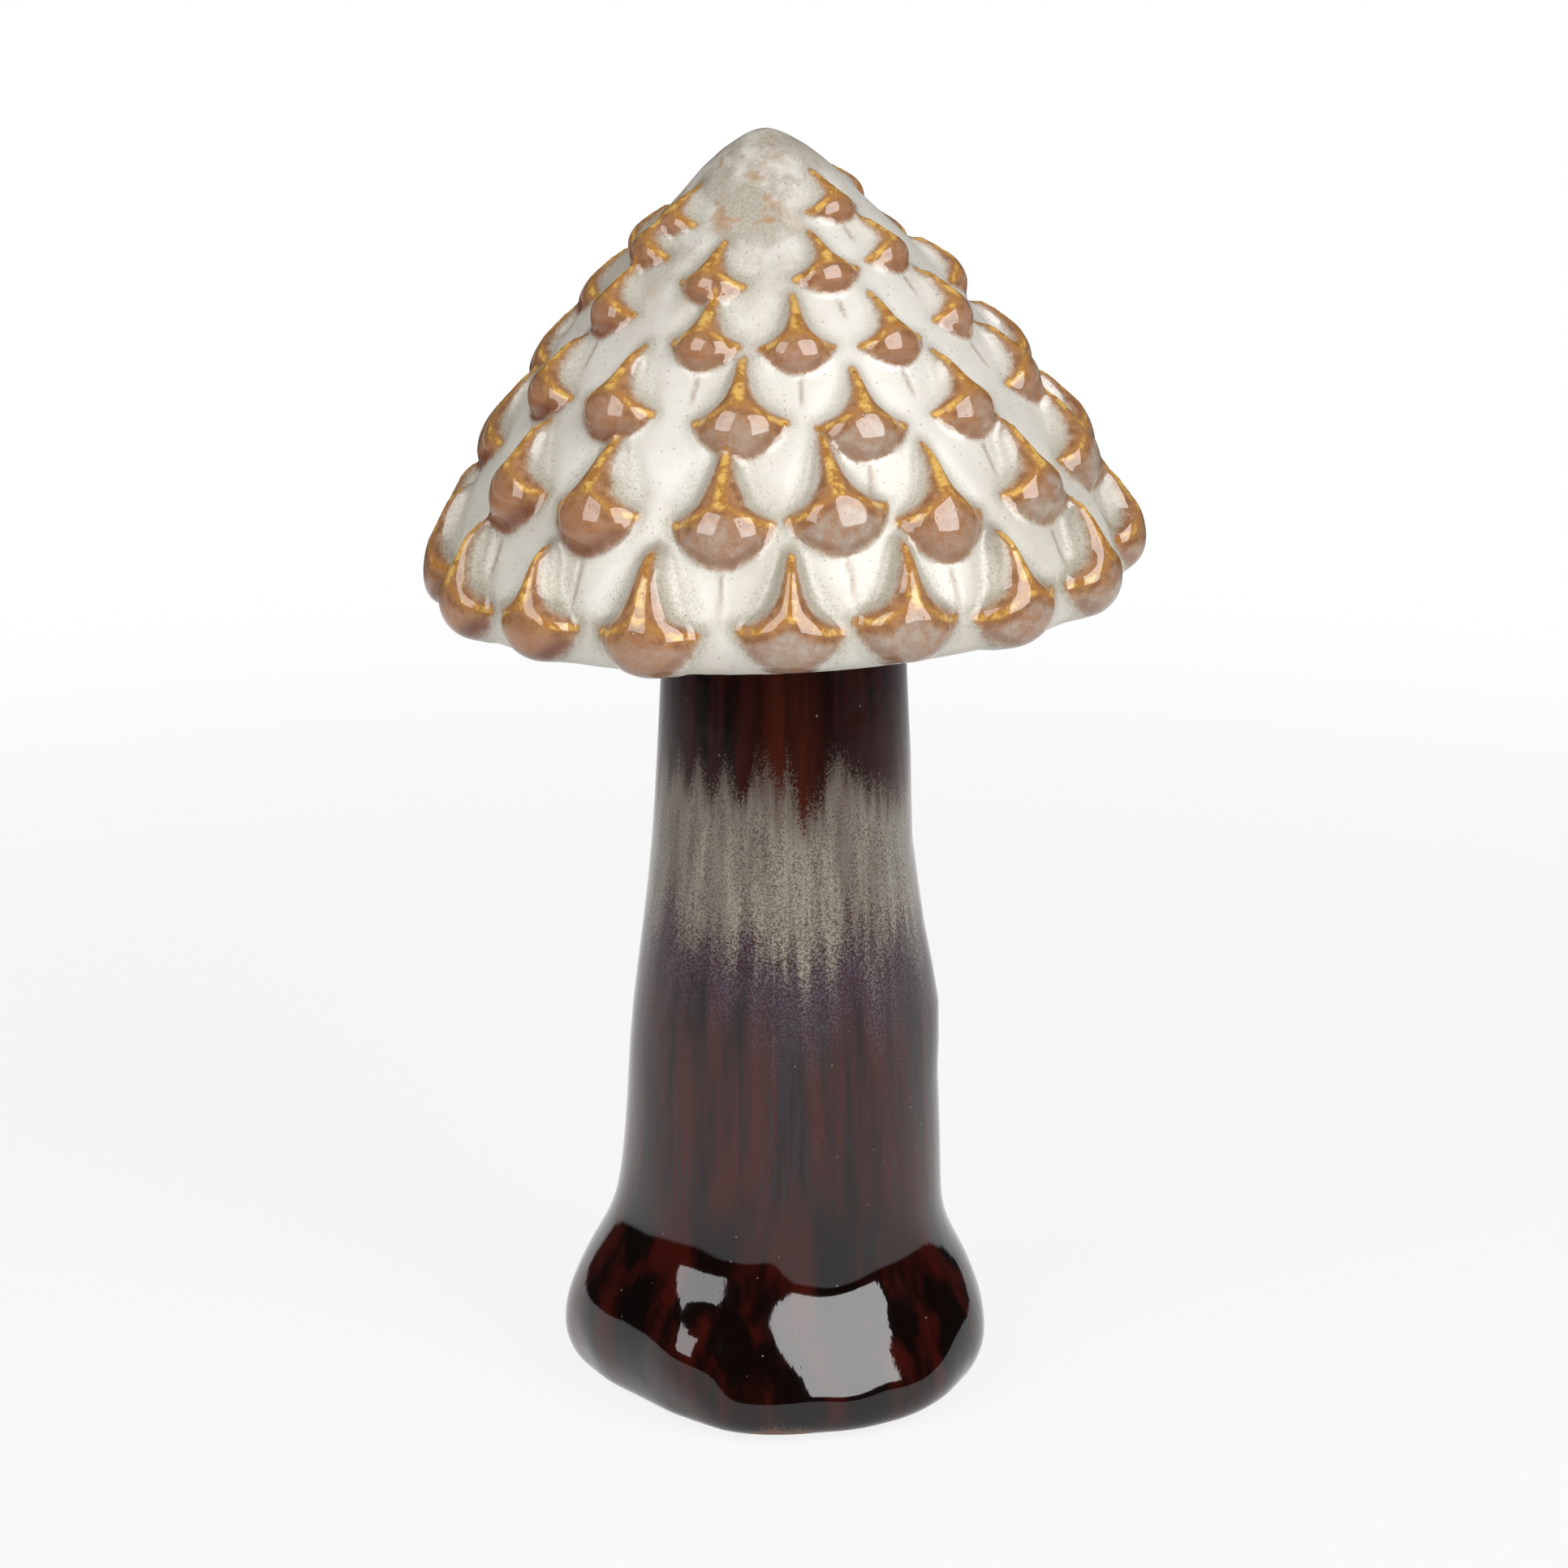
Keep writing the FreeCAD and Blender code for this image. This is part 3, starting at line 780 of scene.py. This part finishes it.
def make_specks_group():
    """Pinholes and iron specks in a glaze: small round spots, some missing."""
    tree, nodes, given, taken = new_group(
        "glaze_specks",
        {"Place": ("Vector", None), "Scale": ("Float", 900.0), "Amount": ("Float", 0.3)},
        {"Specks": "Float"},
    )
    cells = nodes.add("TexVoronoi", {"Vector": given["Place"], "Scale": given["Scale"]})
    spot = nodes.step(cells.outputs["Distance"], 0.26, 0.10)
    chance = nodes.add("SeparateColor", {"Color": cells.outputs["Color"]}).outputs[0]
    kept = nodes.math("LESS_THAN", chance, given["Amount"])
    nodes.feed(taken["Specks"], nodes.times(spot, kept))
    return tree


def make_mottle_group():
    """Cloudy and grainy unevenness of a fired glaze, both about 0 to 1."""
    tree, nodes, given, taken = new_group(
        "glaze_mottle",
        {"Place": ("Vector", None), "Cloud Scale": ("Float", 120.0), "Grain Scale": ("Float", 1500.0)},
        {"Cloud": "Float", "Grain": "Float"},
    )
    cloud = nodes.noise(given["Place"], given["Cloud Scale"], 4, 0.6)
    grain = nodes.noise(given["Place"], given["Grain Scale"], 3, 0.7)
    nodes.feed(taken["Cloud"], nodes.step(cloud, 0.32, 0.68))
    nodes.feed(taken["Grain"], nodes.step(grain, 0.34, 0.66))
    return tree


def make_runs_group():
    """Glaze that has run down the piece: noise drawn out along Z."""
    tree, nodes, given, taken = new_group(
        "glaze_runs",
        {"Place": ("Vector", None), "Scale": ("Float", 200.0), "Draw": ("Float", 0.05)},
        {"Runs": "Float"},
    )
    squash = nodes.add("CombineXYZ", {"X": 1.0, "Y": 1.0, "Z": given["Draw"]}).outputs[0]
    place = nodes.add("VectorMath", {0: given["Place"], 1: squash}, operation="MULTIPLY").outputs[0]
    runs = nodes.noise(place, given["Scale"], 3, 0.5)
    nodes.feed(taken["Runs"], nodes.step(runs, 0.30, 0.70))
    return tree


def new_material(name):
    material = bpy.data.materials.new(name)
    material.use_nodes = True
    nodes = Nodes(material.node_tree)
    surface = nodes.add("BsdfPrincipled")
    nodes.feed(nodes.add("OutputMaterial").inputs["Surface"], surface.outputs[0])
    place = nodes.add("TexCoord").outputs["Object"]
    return material, nodes, surface, place


def roughen(nodes, surface, height, strength, depth):
    """Gives the surface a fine relief."""
    skin = nodes.add("Bump", {"Height": height, "Strength": strength, "Distance": depth})
    nodes.feed(surface.inputs["Normal"], skin.outputs[0])


# Some of these are painted light and shade, not glaze colour: the grey of the broad hollows, the cup
# grey and its speckle, the halo speckle, part of the halo greys, and the brightest white laid on the lit
# side and top.
CAP_TONES = {
    "white": (225, 221, 210), "cloud": (212, 206, 194), "grain": (200, 192, 178),
    "hollow": (188, 181, 164), "haze": (186, 178, 164), "haze_grain": (160, 146, 128),
    "amber": (176, 128, 76), "cup": (190, 189, 175), "cup_shade_speck": (140, 136, 118),
    "halo": (180, 175, 158), "halo_core": (148, 136, 114), "halo_shade_grain": (126, 118, 100),
    "painted_light": (238, 234, 226), "seam": (150, 128, 100), "brown": (174, 129, 90),
    "brown_blot": (146, 103, 72), "lip": (180, 164, 149), "lip_blot": (170, 142, 120),
    "lip_tone": (166, 122, 88), "lip_warm": (162, 108, 66), "lip_grain": (186, 176, 164),
    "lip_thin": (170, 112, 72), "edge": (138, 101, 76), "edge_red": (106, 52, 32),
    "ridge": (176, 124, 70), "gold_blot": (174, 120, 60), "gold": (226, 182, 100),
    "pinhole": (146, 118, 90),
}
# Where the haze lies at the tip, where the white gets painted light on the lit side and top, where the
# lips' glaze is thin and where their edges are red: from nothing to full, along X (side) or Z (height).
HAZE_HEIGHT = (184 * MM, 212 * MM)
HAZE_SIDE = (16 * MM, -2 * MM)
PAINTED_LIGHT_SIDE = (-12 * MM, 16 * MM)
PAINTED_LIGHT_HEIGHT = (150 * MM, 188 * MM)
THIN_SIDE = (0.0, -36 * MM)
THIN_HEIGHT = (172 * MM, 196 * MM)
RED_SIDE = (-14 * MM, -40 * MM)
CAP_ROUGHNESS = 0.42
LIP_ROUGHNESS = 0.04
CAP_IOR = 1.52


def glaze_cap(specks, mottle):
    """Milky white glaze that breaks to amber on the ridges and to grey-brown on the lips, with painted
    shade in the hollows, cups and halos and painted light towards the lit side and top.
    """
    material, nodes, surface, place = new_material("cap_glaze")
    tones = {name: colour(*tone) for name, tone in CAP_TONES.items()}
    x, _, z = nodes.axes(place)
    cloud, grain = nodes.group(mottle, Place=place, Cloud_Scale=110.0, Grain_Scale=2100.0)[:2]
    blots = nodes.noise(place, 480.0, 4, 0.65)
    wobble = nodes.math("MULTIPLY_ADD", blots, 0.5, -0.25)
    grainy = nodes.math("MULTIPLY_ADD", grain, 0.16, nodes.math("ADD", wobble, -0.08))

    def worn(name, low, high):
        """One of the masks with a ragged edge."""
        return nodes.step(nodes.math("ADD", nodes.mask(name), grainy), low, high)

    # White glaze, with painted shade darkening the broad hollows
    body = nodes.mix(cloud, tones["white"], tones["cloud"])
    body = nodes.cover(body, nodes.step(grain, 0.6, 1.0), 0.2, tones["grain"])
    hollow_shade = nodes.step(nodes.math("ADD", nodes.mask("broad_relief"), wobble), 0.1, -1.2)
    body = nodes.cover(body, hollow_shade, 0.34, tones["hollow"])

    # Grey haze with amber spots at the tip
    haze = nodes.times(nodes.step(z, *HAZE_HEIGHT), nodes.step(cloud, -0.3, 0.7))
    haze = nodes.times(haze, nodes.step(x, *HAZE_SIDE))
    body = nodes.cover(body, haze, 0.9, nodes.mix(grain, tones["haze"], tones["haze_grain"]))
    amber = nodes.times(haze, nodes.step(nodes.noise(place, 170.0, 3, 0.6), 0.54, 0.66))
    body = nodes.cover(body, amber, 0.7, tones["amber"])

    # Painted shade in the cups over the scales' arms, with a darker painted speckle; grey-green glaze
    # with painted shade in the halos round the scales
    body = nodes.cover(body, worn("cup", 0.1, 0.9), 0.18, tones["cup"])
    # Painted shade: a darker speckle in the cups.
    cup_shade_speck = nodes.times(worn("cup", 0.2, 0.8), nodes.step(grain, 0.5, 0.9))
    body = nodes.cover(body, cup_shade_speck, 0.3, tones["cup_shade_speck"])
    # The halos are grey-green glaze with painted shade, strongest by the keel above the lips; their
    # speckle is painted shade.
    halo = nodes.math("MULTIPLY_ADD", grainy, 0.5, nodes.mask("halo"))
    body = nodes.cover(body, nodes.step(halo, 0.05, 1.0), 0.38, tones["halo"])
    body = nodes.cover(body, nodes.step(halo, 0.55, 1.1), 0.55, tones["halo_core"])
    halo_shade_speck = nodes.times(halo, nodes.step(grain, 0.45, 0.9))
    body = nodes.cover(body, halo_shade_speck, 0.2, tones["halo_shade_grain"])
    # Painted light: the white is laid brighter towards the lit right side and the top, less where the
    # haze lies.
    painted_light = nodes.math("MULTIPLY_ADD", nodes.step(x, *PAINTED_LIGHT_SIDE), 0.32, 0.26)
    painted_light = nodes.times(painted_light, nodes.step(z, *PAINTED_LIGHT_HEIGHT))
    painted_light = nodes.times(painted_light, nodes.math("SUBTRACT", 1.0, haze))
    body = nodes.mix(painted_light, body, tones["painted_light"])
    body = nodes.cover(body, nodes.mask("seam"), 0.7, tones["seam"])

    # Scales: brown spade, grey-brown lip, darker edge, brown ridge with a gold crest
    brown = nodes.mix(nodes.step(blots, 0.38, 0.62), tones["brown"], tones["brown_blot"])
    body = nodes.mix(worn("spade", 0.15, 0.95), body, brown)
    lip = nodes.mix(nodes.step(blots, 0.36, 0.60), tones["lip"], tones["lip_blot"])
    lip = nodes.cover(lip, nodes.step(nodes.mask("tone"), 0.3, 1.0), 0.6, tones["lip_tone"])
    warm = nodes.step(nodes.noise(place, 190.0, 3, 0.6), 0.50, 0.64)
    lip = nodes.cover(lip, warm, 0.6, tones["lip_warm"])
    lip = nodes.cover(lip, nodes.step(grain, 0.45, 1.0), 0.22, tones["lip_grain"])
    thin = nodes.math("MAXIMUM", nodes.step(x, *THIN_SIDE), nodes.step(z, *THIN_HEIGHT))
    lip = nodes.cover(lip, thin, 0.6, tones["lip_thin"])
    body = nodes.mix(worn("lip", 0.35, 1.0), body, lip)
    body = nodes.cover(body, worn("edge", 0.45, 1.1), 0.65, tones["edge"])
    red = nodes.times(nodes.step(x, *RED_SIDE), nodes.mask("edge"))
    body = nodes.cover(body, red, 0.8, tones["edge_red"])
    body = nodes.cover(body, worn("ridge", 0.45, 1.0), 0.8, tones["ridge"])
    gold = nodes.mix(nodes.step(blots, 0.42, 0.58), tones["gold_blot"], tones["gold"])
    body = nodes.mix(worn("crest", 0.45, 1.0), body, gold)
    pins = nodes.group(specks, Place=place, Scale=950.0, Amount=0.26)[0]
    body = nodes.cover(body, pins, 0.5, tones["pinhole"])
    nodes.feed(surface.inputs["Base Color"], body)

    # Satin on the white, glassy on the scales
    glassy = nodes.step(nodes.mask("spade"), 0.0, 0.6)
    satin = nodes.math("MULTIPLY_ADD", glassy, LIP_ROUGHNESS - CAP_ROUGHNESS, CAP_ROUGHNESS)
    nodes.feed(surface.inputs["Roughness"], nodes.math("MULTIPLY_ADD", grain, 0.03, satin))
    surface.inputs["IOR"].default_value = CAP_IOR
    ripple = nodes.times(nodes.noise(place, 260.0, 2, 0.5), 0.6)
    roughen(nodes, surface, nodes.math("SUBTRACT", ripple, nodes.times(pins, 0.5)), 0.25, 0.2 * MM)
    return material


STEM_TONES = {
    "upper": (20, 9, 8), "upper_run": (58, 25, 21), "rust": (78, 32, 18),
    "band_dark": (98, 84, 78), "band": (152, 148, 132), "band_thread": (174, 170, 154),
    "band_gap": (100, 84, 78), "band_streak": (90, 74, 70), "plum": (60, 30, 32),
    "plum_grain": (76, 70, 84), "lower": (22, 9, 10), "lower_run": (68, 23, 17),
    "slate": (38, 36, 42), "foot": (12, 4, 3), "foot_red": (58, 14, 8),
    "clay": (138, 82, 50), "clay_grain": (112, 96, 82), "speck": (170, 164, 158),
}
# Levels (mm) between which each glaze gives way to the next one, from the foot up.
BARE_LEVELS = (2.6, 1.4)
FOOT_LEVELS = (44.0, 30.0)
PLUM_LEVELS = (66.0, 82.0)
BAND_LEVELS = (79.0, 93.0)
UPPER_LEVELS = (107.0, 115.0)
# How far (mm) wide and narrow runs and the grain shift those levels.
WIDE_RUN = 8.0
NARROW_RUN = 9.0
GRAIN_REACH = 7.0
# Where the rust streak and the worn edge of the foot lie: beside their middle, and along Y.
STREAK_MIDDLE = 0.5 * MM
RUST_ASIDE = (8 * MM, 2 * MM)
RUST_FRONT = (0.0, -10 * MM)
CHIP_ASIDE = (8 * MM, 3 * MM)
CHIP_FRONT = (-20 * MM, -32 * MM)
STEM_IOR = 1.5


def glaze_stem(specks, mottle, runs):
    """Dark red-brown glaze with a grey-green speckled band that has run down the shaft."""
    material, nodes, surface, place = new_material("stem_glaze")
    tones = {name: colour(*tone) for name, tone in STEM_TONES.items()}
    x, y, z = nodes.axes(place)
    cloud, grain = nodes.group(mottle, Place=place, Cloud_Scale=110.0, Grain_Scale=2700.0)[:2]
    wide = nodes.group(runs, Place=place, Scale=130.0, Draw=0.07)[0]
    narrow = nodes.group(runs, Place=place, Scale=330.0, Draw=0.05)[0]
    thread = nodes.group(runs, Place=place, Scale=1100.0, Draw=0.05)[0]
    level = nodes.times(z, 1 / MM)
    ragged = nodes.math("MULTIPLY_ADD", narrow, NARROW_RUN, -(WIDE_RUN + NARROW_RUN) / 2)
    ragged = nodes.math("ADD", level, nodes.math("MULTIPLY_ADD", wide, WIDE_RUN, ragged))
    shifted = nodes.math("MULTIPLY_ADD", grain, GRAIN_REACH, -GRAIN_REACH / 2)
    shifted = nodes.math("ADD", ragged, shifted)

    # Foot and shaft below the band
    lower = nodes.mix(narrow, tones["lower"], tones["lower_run"])
    slate = nodes.step(nodes.times(wide, thread), 0.3, 0.8)
    lower = nodes.cover(lower, slate, 0.6, tones["slate"])
    foot = nodes.mix(nodes.step(wide, 0.35, 1.0), tones["foot"], tones["foot_red"])
    body = nodes.mix(nodes.step(level, *FOOT_LEVELS), lower, foot)

    # Plum fringe and speckled band
    plum = nodes.mix(nodes.step(grain, 0.3, 0.8), tones["plum"], tones["plum_grain"])
    body = nodes.mix(nodes.step(shifted, *PLUM_LEVELS), body, plum)
    band = nodes.mix(nodes.step(grain, 0.25, 0.75), tones["band_dark"], tones["band"])
    band = nodes.cover(band, thread, 0.35, tones["band_thread"])
    band = nodes.cover(band, nodes.step(wide, 0.65, 0.15), 0.5, tones["band_gap"])
    band = nodes.cover(band, nodes.step(narrow, 0.6, 0.1), 0.3, tones["band_streak"])
    body = nodes.mix(nodes.step(shifted, *BAND_LEVELS), body, band)

    # Neck with a rust streak in front
    upper = nodes.mix(narrow, tones["upper"], tones["upper_run"])
    aside = nodes.math("ABSOLUTE", nodes.math("ADD", x, -STREAK_MIDDLE))
    front = nodes.times(nodes.step(aside, *RUST_ASIDE), nodes.step(y, *RUST_FRONT))
    rust = nodes.times(front, nodes.math("MULTIPLY_ADD", narrow, 0.6, 0.3))
    upper = nodes.mix(rust, upper, tones["rust"])
    body = nodes.mix(nodes.step(shifted, *UPPER_LEVELS), body, upper)

    # Bare clay at the foot's edge, worn higher in front
    chip = nodes.times(nodes.step(aside, *CHIP_ASIDE), nodes.step(y, *CHIP_FRONT))
    chip = nodes.times(chip, nodes.math("MULTIPLY_ADD", grain, 2.0, 0.8))
    edge = nodes.math("SUBTRACT", nodes.math("ADD", level, nodes.times(cloud, 1.4)), chip)
    bare = nodes.step(edge, *BARE_LEVELS)
    body = nodes.cover(body, bare, 0.9, nodes.mix(grain, tones["clay"], tones["clay_grain"]))
    pins = nodes.group(specks, Place=place, Scale=1100.0, Amount=0.015)[0]
    body = nodes.cover(body, pins, 0.4, tones["speck"])
    nodes.feed(surface.inputs["Base Color"], body)

    rough = nodes.math("MULTIPLY_ADD", bare, 0.5, 0.05)
    nodes.feed(surface.inputs["Roughness"], nodes.math("MULTIPLY_ADD", cloud, 0.03, rough))
    surface.inputs["IOR"].default_value = STEM_IOR
    ripple = nodes.math("MULTIPLY_ADD", narrow, 0.3, nodes.noise(place, 110.0, 2, 0.5))
    roughen(nodes, surface, nodes.math("SUBTRACT", ripple, pins), 0.15, 0.4 * MM)
    return material


def bare_clay(mottle):
    """Fired clay without glaze: orange-brown, grainy, with a little grog."""
    material, nodes, surface, place = new_material("bare_clay")
    cloud, grain = nodes.group(mottle, Place=place, Cloud_Scale=90.0, Grain_Scale=1600.0)[:2]
    body = nodes.mix(cloud, colour(170, 118, 82), colour(196, 148, 108))
    body = nodes.cover(body, grain, 0.35, colour(120, 76, 50))
    nodes.feed(surface.inputs["Base Color"], body)
    nodes.feed(surface.inputs["Roughness"], nodes.math("MULTIPLY_ADD", grain, 0.15, 0.75))
    roughen(nodes, surface, grain, 0.4, 0.2 * MM)
    return material


def soft_ring(mottle):
    """Dark grey felt-like rubber."""
    material, nodes, surface, place = new_material("soft_ring")
    cloud, grain = nodes.group(mottle, Place=place, Cloud_Scale=200.0, Grain_Scale=2600.0)[:2]
    body = nodes.mix(grain, colour(44, 42, 40), colour(72, 69, 66))
    body = nodes.cover(body, cloud, 0.3, colour(86, 82, 76))
    nodes.feed(surface.inputs["Base Color"], body)
    nodes.feed(surface.inputs["Roughness"], nodes.math("MULTIPLY_ADD", grain, 0.2, 0.7))
    return material


# Stage

WHITE = (1, 1, 1, 1)
FLOOR_SIZE = 8
FLOOR_GREY = 0.85
# How much of the floor's white is its own glow near the piece, and how bright the room mirrors.
FLOOR_GLOW = 0.85
ROOM_GLOW = 0.03
FILL_LIGHT = 0.2
# Distance from the piece (m) over which the floor turns fully white.
FLOOR_FADE = (0.25, 0.6)
# The white table that the glaze mirrors: along Y, and out from the piece (m).
TABLE_FRONT = (-0.54, -0.43)
TABLE_REACH = (0.75, 0.25)
# Where the mirrored room turns dark: rise of the direction, and its way to the front.
HORIZON = (-0.02, -0.01)
ROOM_FRONT = (-0.15, -0.45)

# Softboxes: turn, rise, distance, width, height (m), brightness, and whether the box is what the
# glaze mirrors or what lights the piece.
SOFTBOXES = {
    "softbox_right": (44, 33, 0.90, 0.60, 0.60, 4.8, False),
    "softbox_left": (-44, 33, 0.90, 0.58, 0.58, 3.8, False),
    "mirrored_right": (42, 27, 0.90, 0.82, 0.78, 7.6, True),
    "mirrored_left": (-46, 30, 0.90, 0.56, 0.60, 5.4, True),
}
LIGHT_TARGET = Vector((0, 0, 0.12))

CAMERA_TARGET = Vector((0, 0, 0.10697))
CAMERA_DISTANCE = 0.9
CAMERA_RISE = 16.5
CAMERA_LENS = 120.12
CAMERA_SENSOR = 36


def grey(share):
    return (share, share, share, 1)


def mirrored_rays(nodes, path):
    return nodes.math("MAXIMUM", path["Is Glossy Ray"], path["Is Transmission Ray"])


def make_stage():
    """A pale floor that shows white to the camera and in reflections, and keeps the shadow."""
    deselect()
    bpy.ops.mesh.primitive_plane_add(size=FLOOR_SIZE, location=(0, 0, 0))
    floor = bpy.context.object
    floor.name = "floor"
    material = bpy.data.materials.new("floor")
    material.use_nodes = True
    nodes = Nodes(material.node_tree)
    plain = nodes.add("BsdfDiffuse", {"Color": grey(FLOOR_GREY)})
    path = nodes.add("LightPath").outputs
    place = nodes.add("TexCoord").outputs["Object"]
    reach = nodes.add("VectorMath", {0: place}, operation="LENGTH").outputs["Value"]
    glow = nodes.math("MULTIPLY_ADD", nodes.step(reach, *FLOOR_FADE), 1 - FLOOR_GLOW, FLOOR_GLOW)
    _, y, _ = nodes.axes(place)
    table = nodes.times(nodes.step(y, *TABLE_FRONT), nodes.step(reach, *TABLE_REACH))
    seen = nodes.math("MAXIMUM", path["Is Camera Ray"], mirrored_rays(nodes, path))
    bright = nodes.math("MAXIMUM", path["Is Camera Ray"], nodes.math("MAXIMUM", table, ROOM_GLOW))
    white = nodes.add("Emission", {"Color": WHITE, "Strength": bright})
    mixed = nodes.add("MixShader")
    nodes.feed(mixed.inputs[0], nodes.times(seen, glow))
    nodes.feed(mixed.inputs[1], plain.outputs[0])
    nodes.feed(mixed.inputs[2], white.outputs[0])
    nodes.feed(nodes.add("OutputMaterial").inputs["Surface"], mixed.outputs[0])
    floor.data.materials.append(material)


def make_world():
    """White where the camera sees it, dark in reflections above the floor, a plain fill light."""
    world = bpy.data.worlds.new("studio")
    bpy.context.scene.world = world
    world.use_nodes = True
    nodes = Nodes(world.node_tree)
    direction = nodes.add("TexCoord").outputs["Generated"]
    _, y, z = nodes.axes(direction)
    dark = nodes.math("MAXIMUM", nodes.step(z, *HORIZON), nodes.step(y, *ROOM_FRONT))
    room = nodes.mix(dark, WHITE, grey(ROOM_GLOW))
    path = nodes.add("LightPath").outputs
    seen = nodes.mix(mirrored_rays(nodes, path), grey(FILL_LIGHT), room)
    seen = nodes.mix(path["Is Camera Ray"], seen, WHITE)
    back = nodes.add("Background", {"Color": seen, "Strength": 1.0})
    nodes.feed(nodes.add("OutputWorld").inputs["Surface"], back.outputs[0])


def aim(thing, target, turn, rise, distance):
    """Puts a lamp or the camera at a turn, a rise and a distance from a target and points it there."""
    tilt = math.radians(rise)
    side = outward(turn) * math.cos(tilt) + Vector((0, 0, math.sin(tilt)))
    thing.location = target + side * distance
    thing.rotation_euler = side.to_track_quat("Z", "Y").to_euler()


def make_lights():
    for name, (turn, rise, distance, width, height, brightness, mirrored) in SOFTBOXES.items():
        lamp = bpy.data.lights.new(name, "AREA")
        lamp.shape = "RECTANGLE"
        lamp.size, lamp.size_y = width, height
        lamp.energy = brightness * math.pi * width * height
        box = bpy.data.objects.new(name, lamp)
        bpy.context.scene.collection.objects.link(box)
        box.visible_glossy, box.visible_diffuse = mirrored, not mirrored
        aim(box, LIGHT_TARGET, turn, rise, distance)


def make_camera():
    camera = bpy.data.objects.new("camera", bpy.data.cameras.new("camera"))
    bpy.context.scene.collection.objects.link(camera)
    camera.data.lens = CAMERA_LENS
    camera.data.sensor_width = CAMERA_SENSOR
    aim(camera, CAMERA_TARGET, 0, CAMERA_RISE, CAMERA_DISTANCE)
    bpy.context.scene.camera = camera


def dress(piece, material):
    piece.data.materials.clear()
    piece.data.materials.append(material)


places = scale_places()
stem = make_stem()
cap = make_cap(places)
finish_cap(cap, places)

specks, mottle, runs = make_specks_group(), make_mottle_group(), make_runs_group()
dress(stem, glaze_stem(specks, mottle, runs))
dress(cap, glaze_cap(specks, mottle))
clay = bare_clay(mottle)
for node in ("foot_ring", "foot_plate", "neck_spigot", "cap_underside", "cap_socket"):
    dress(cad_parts[node], clay)
dress(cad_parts["seat_ring"], soft_ring(mottle))

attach(stem, "stem")
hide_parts("stem_shell")
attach(cap, "cap")
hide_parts("cap_dome")

make_stage()
make_world()
make_lights()
make_camera()
bpy.context.scene.view_settings.view_transform = "Standard"
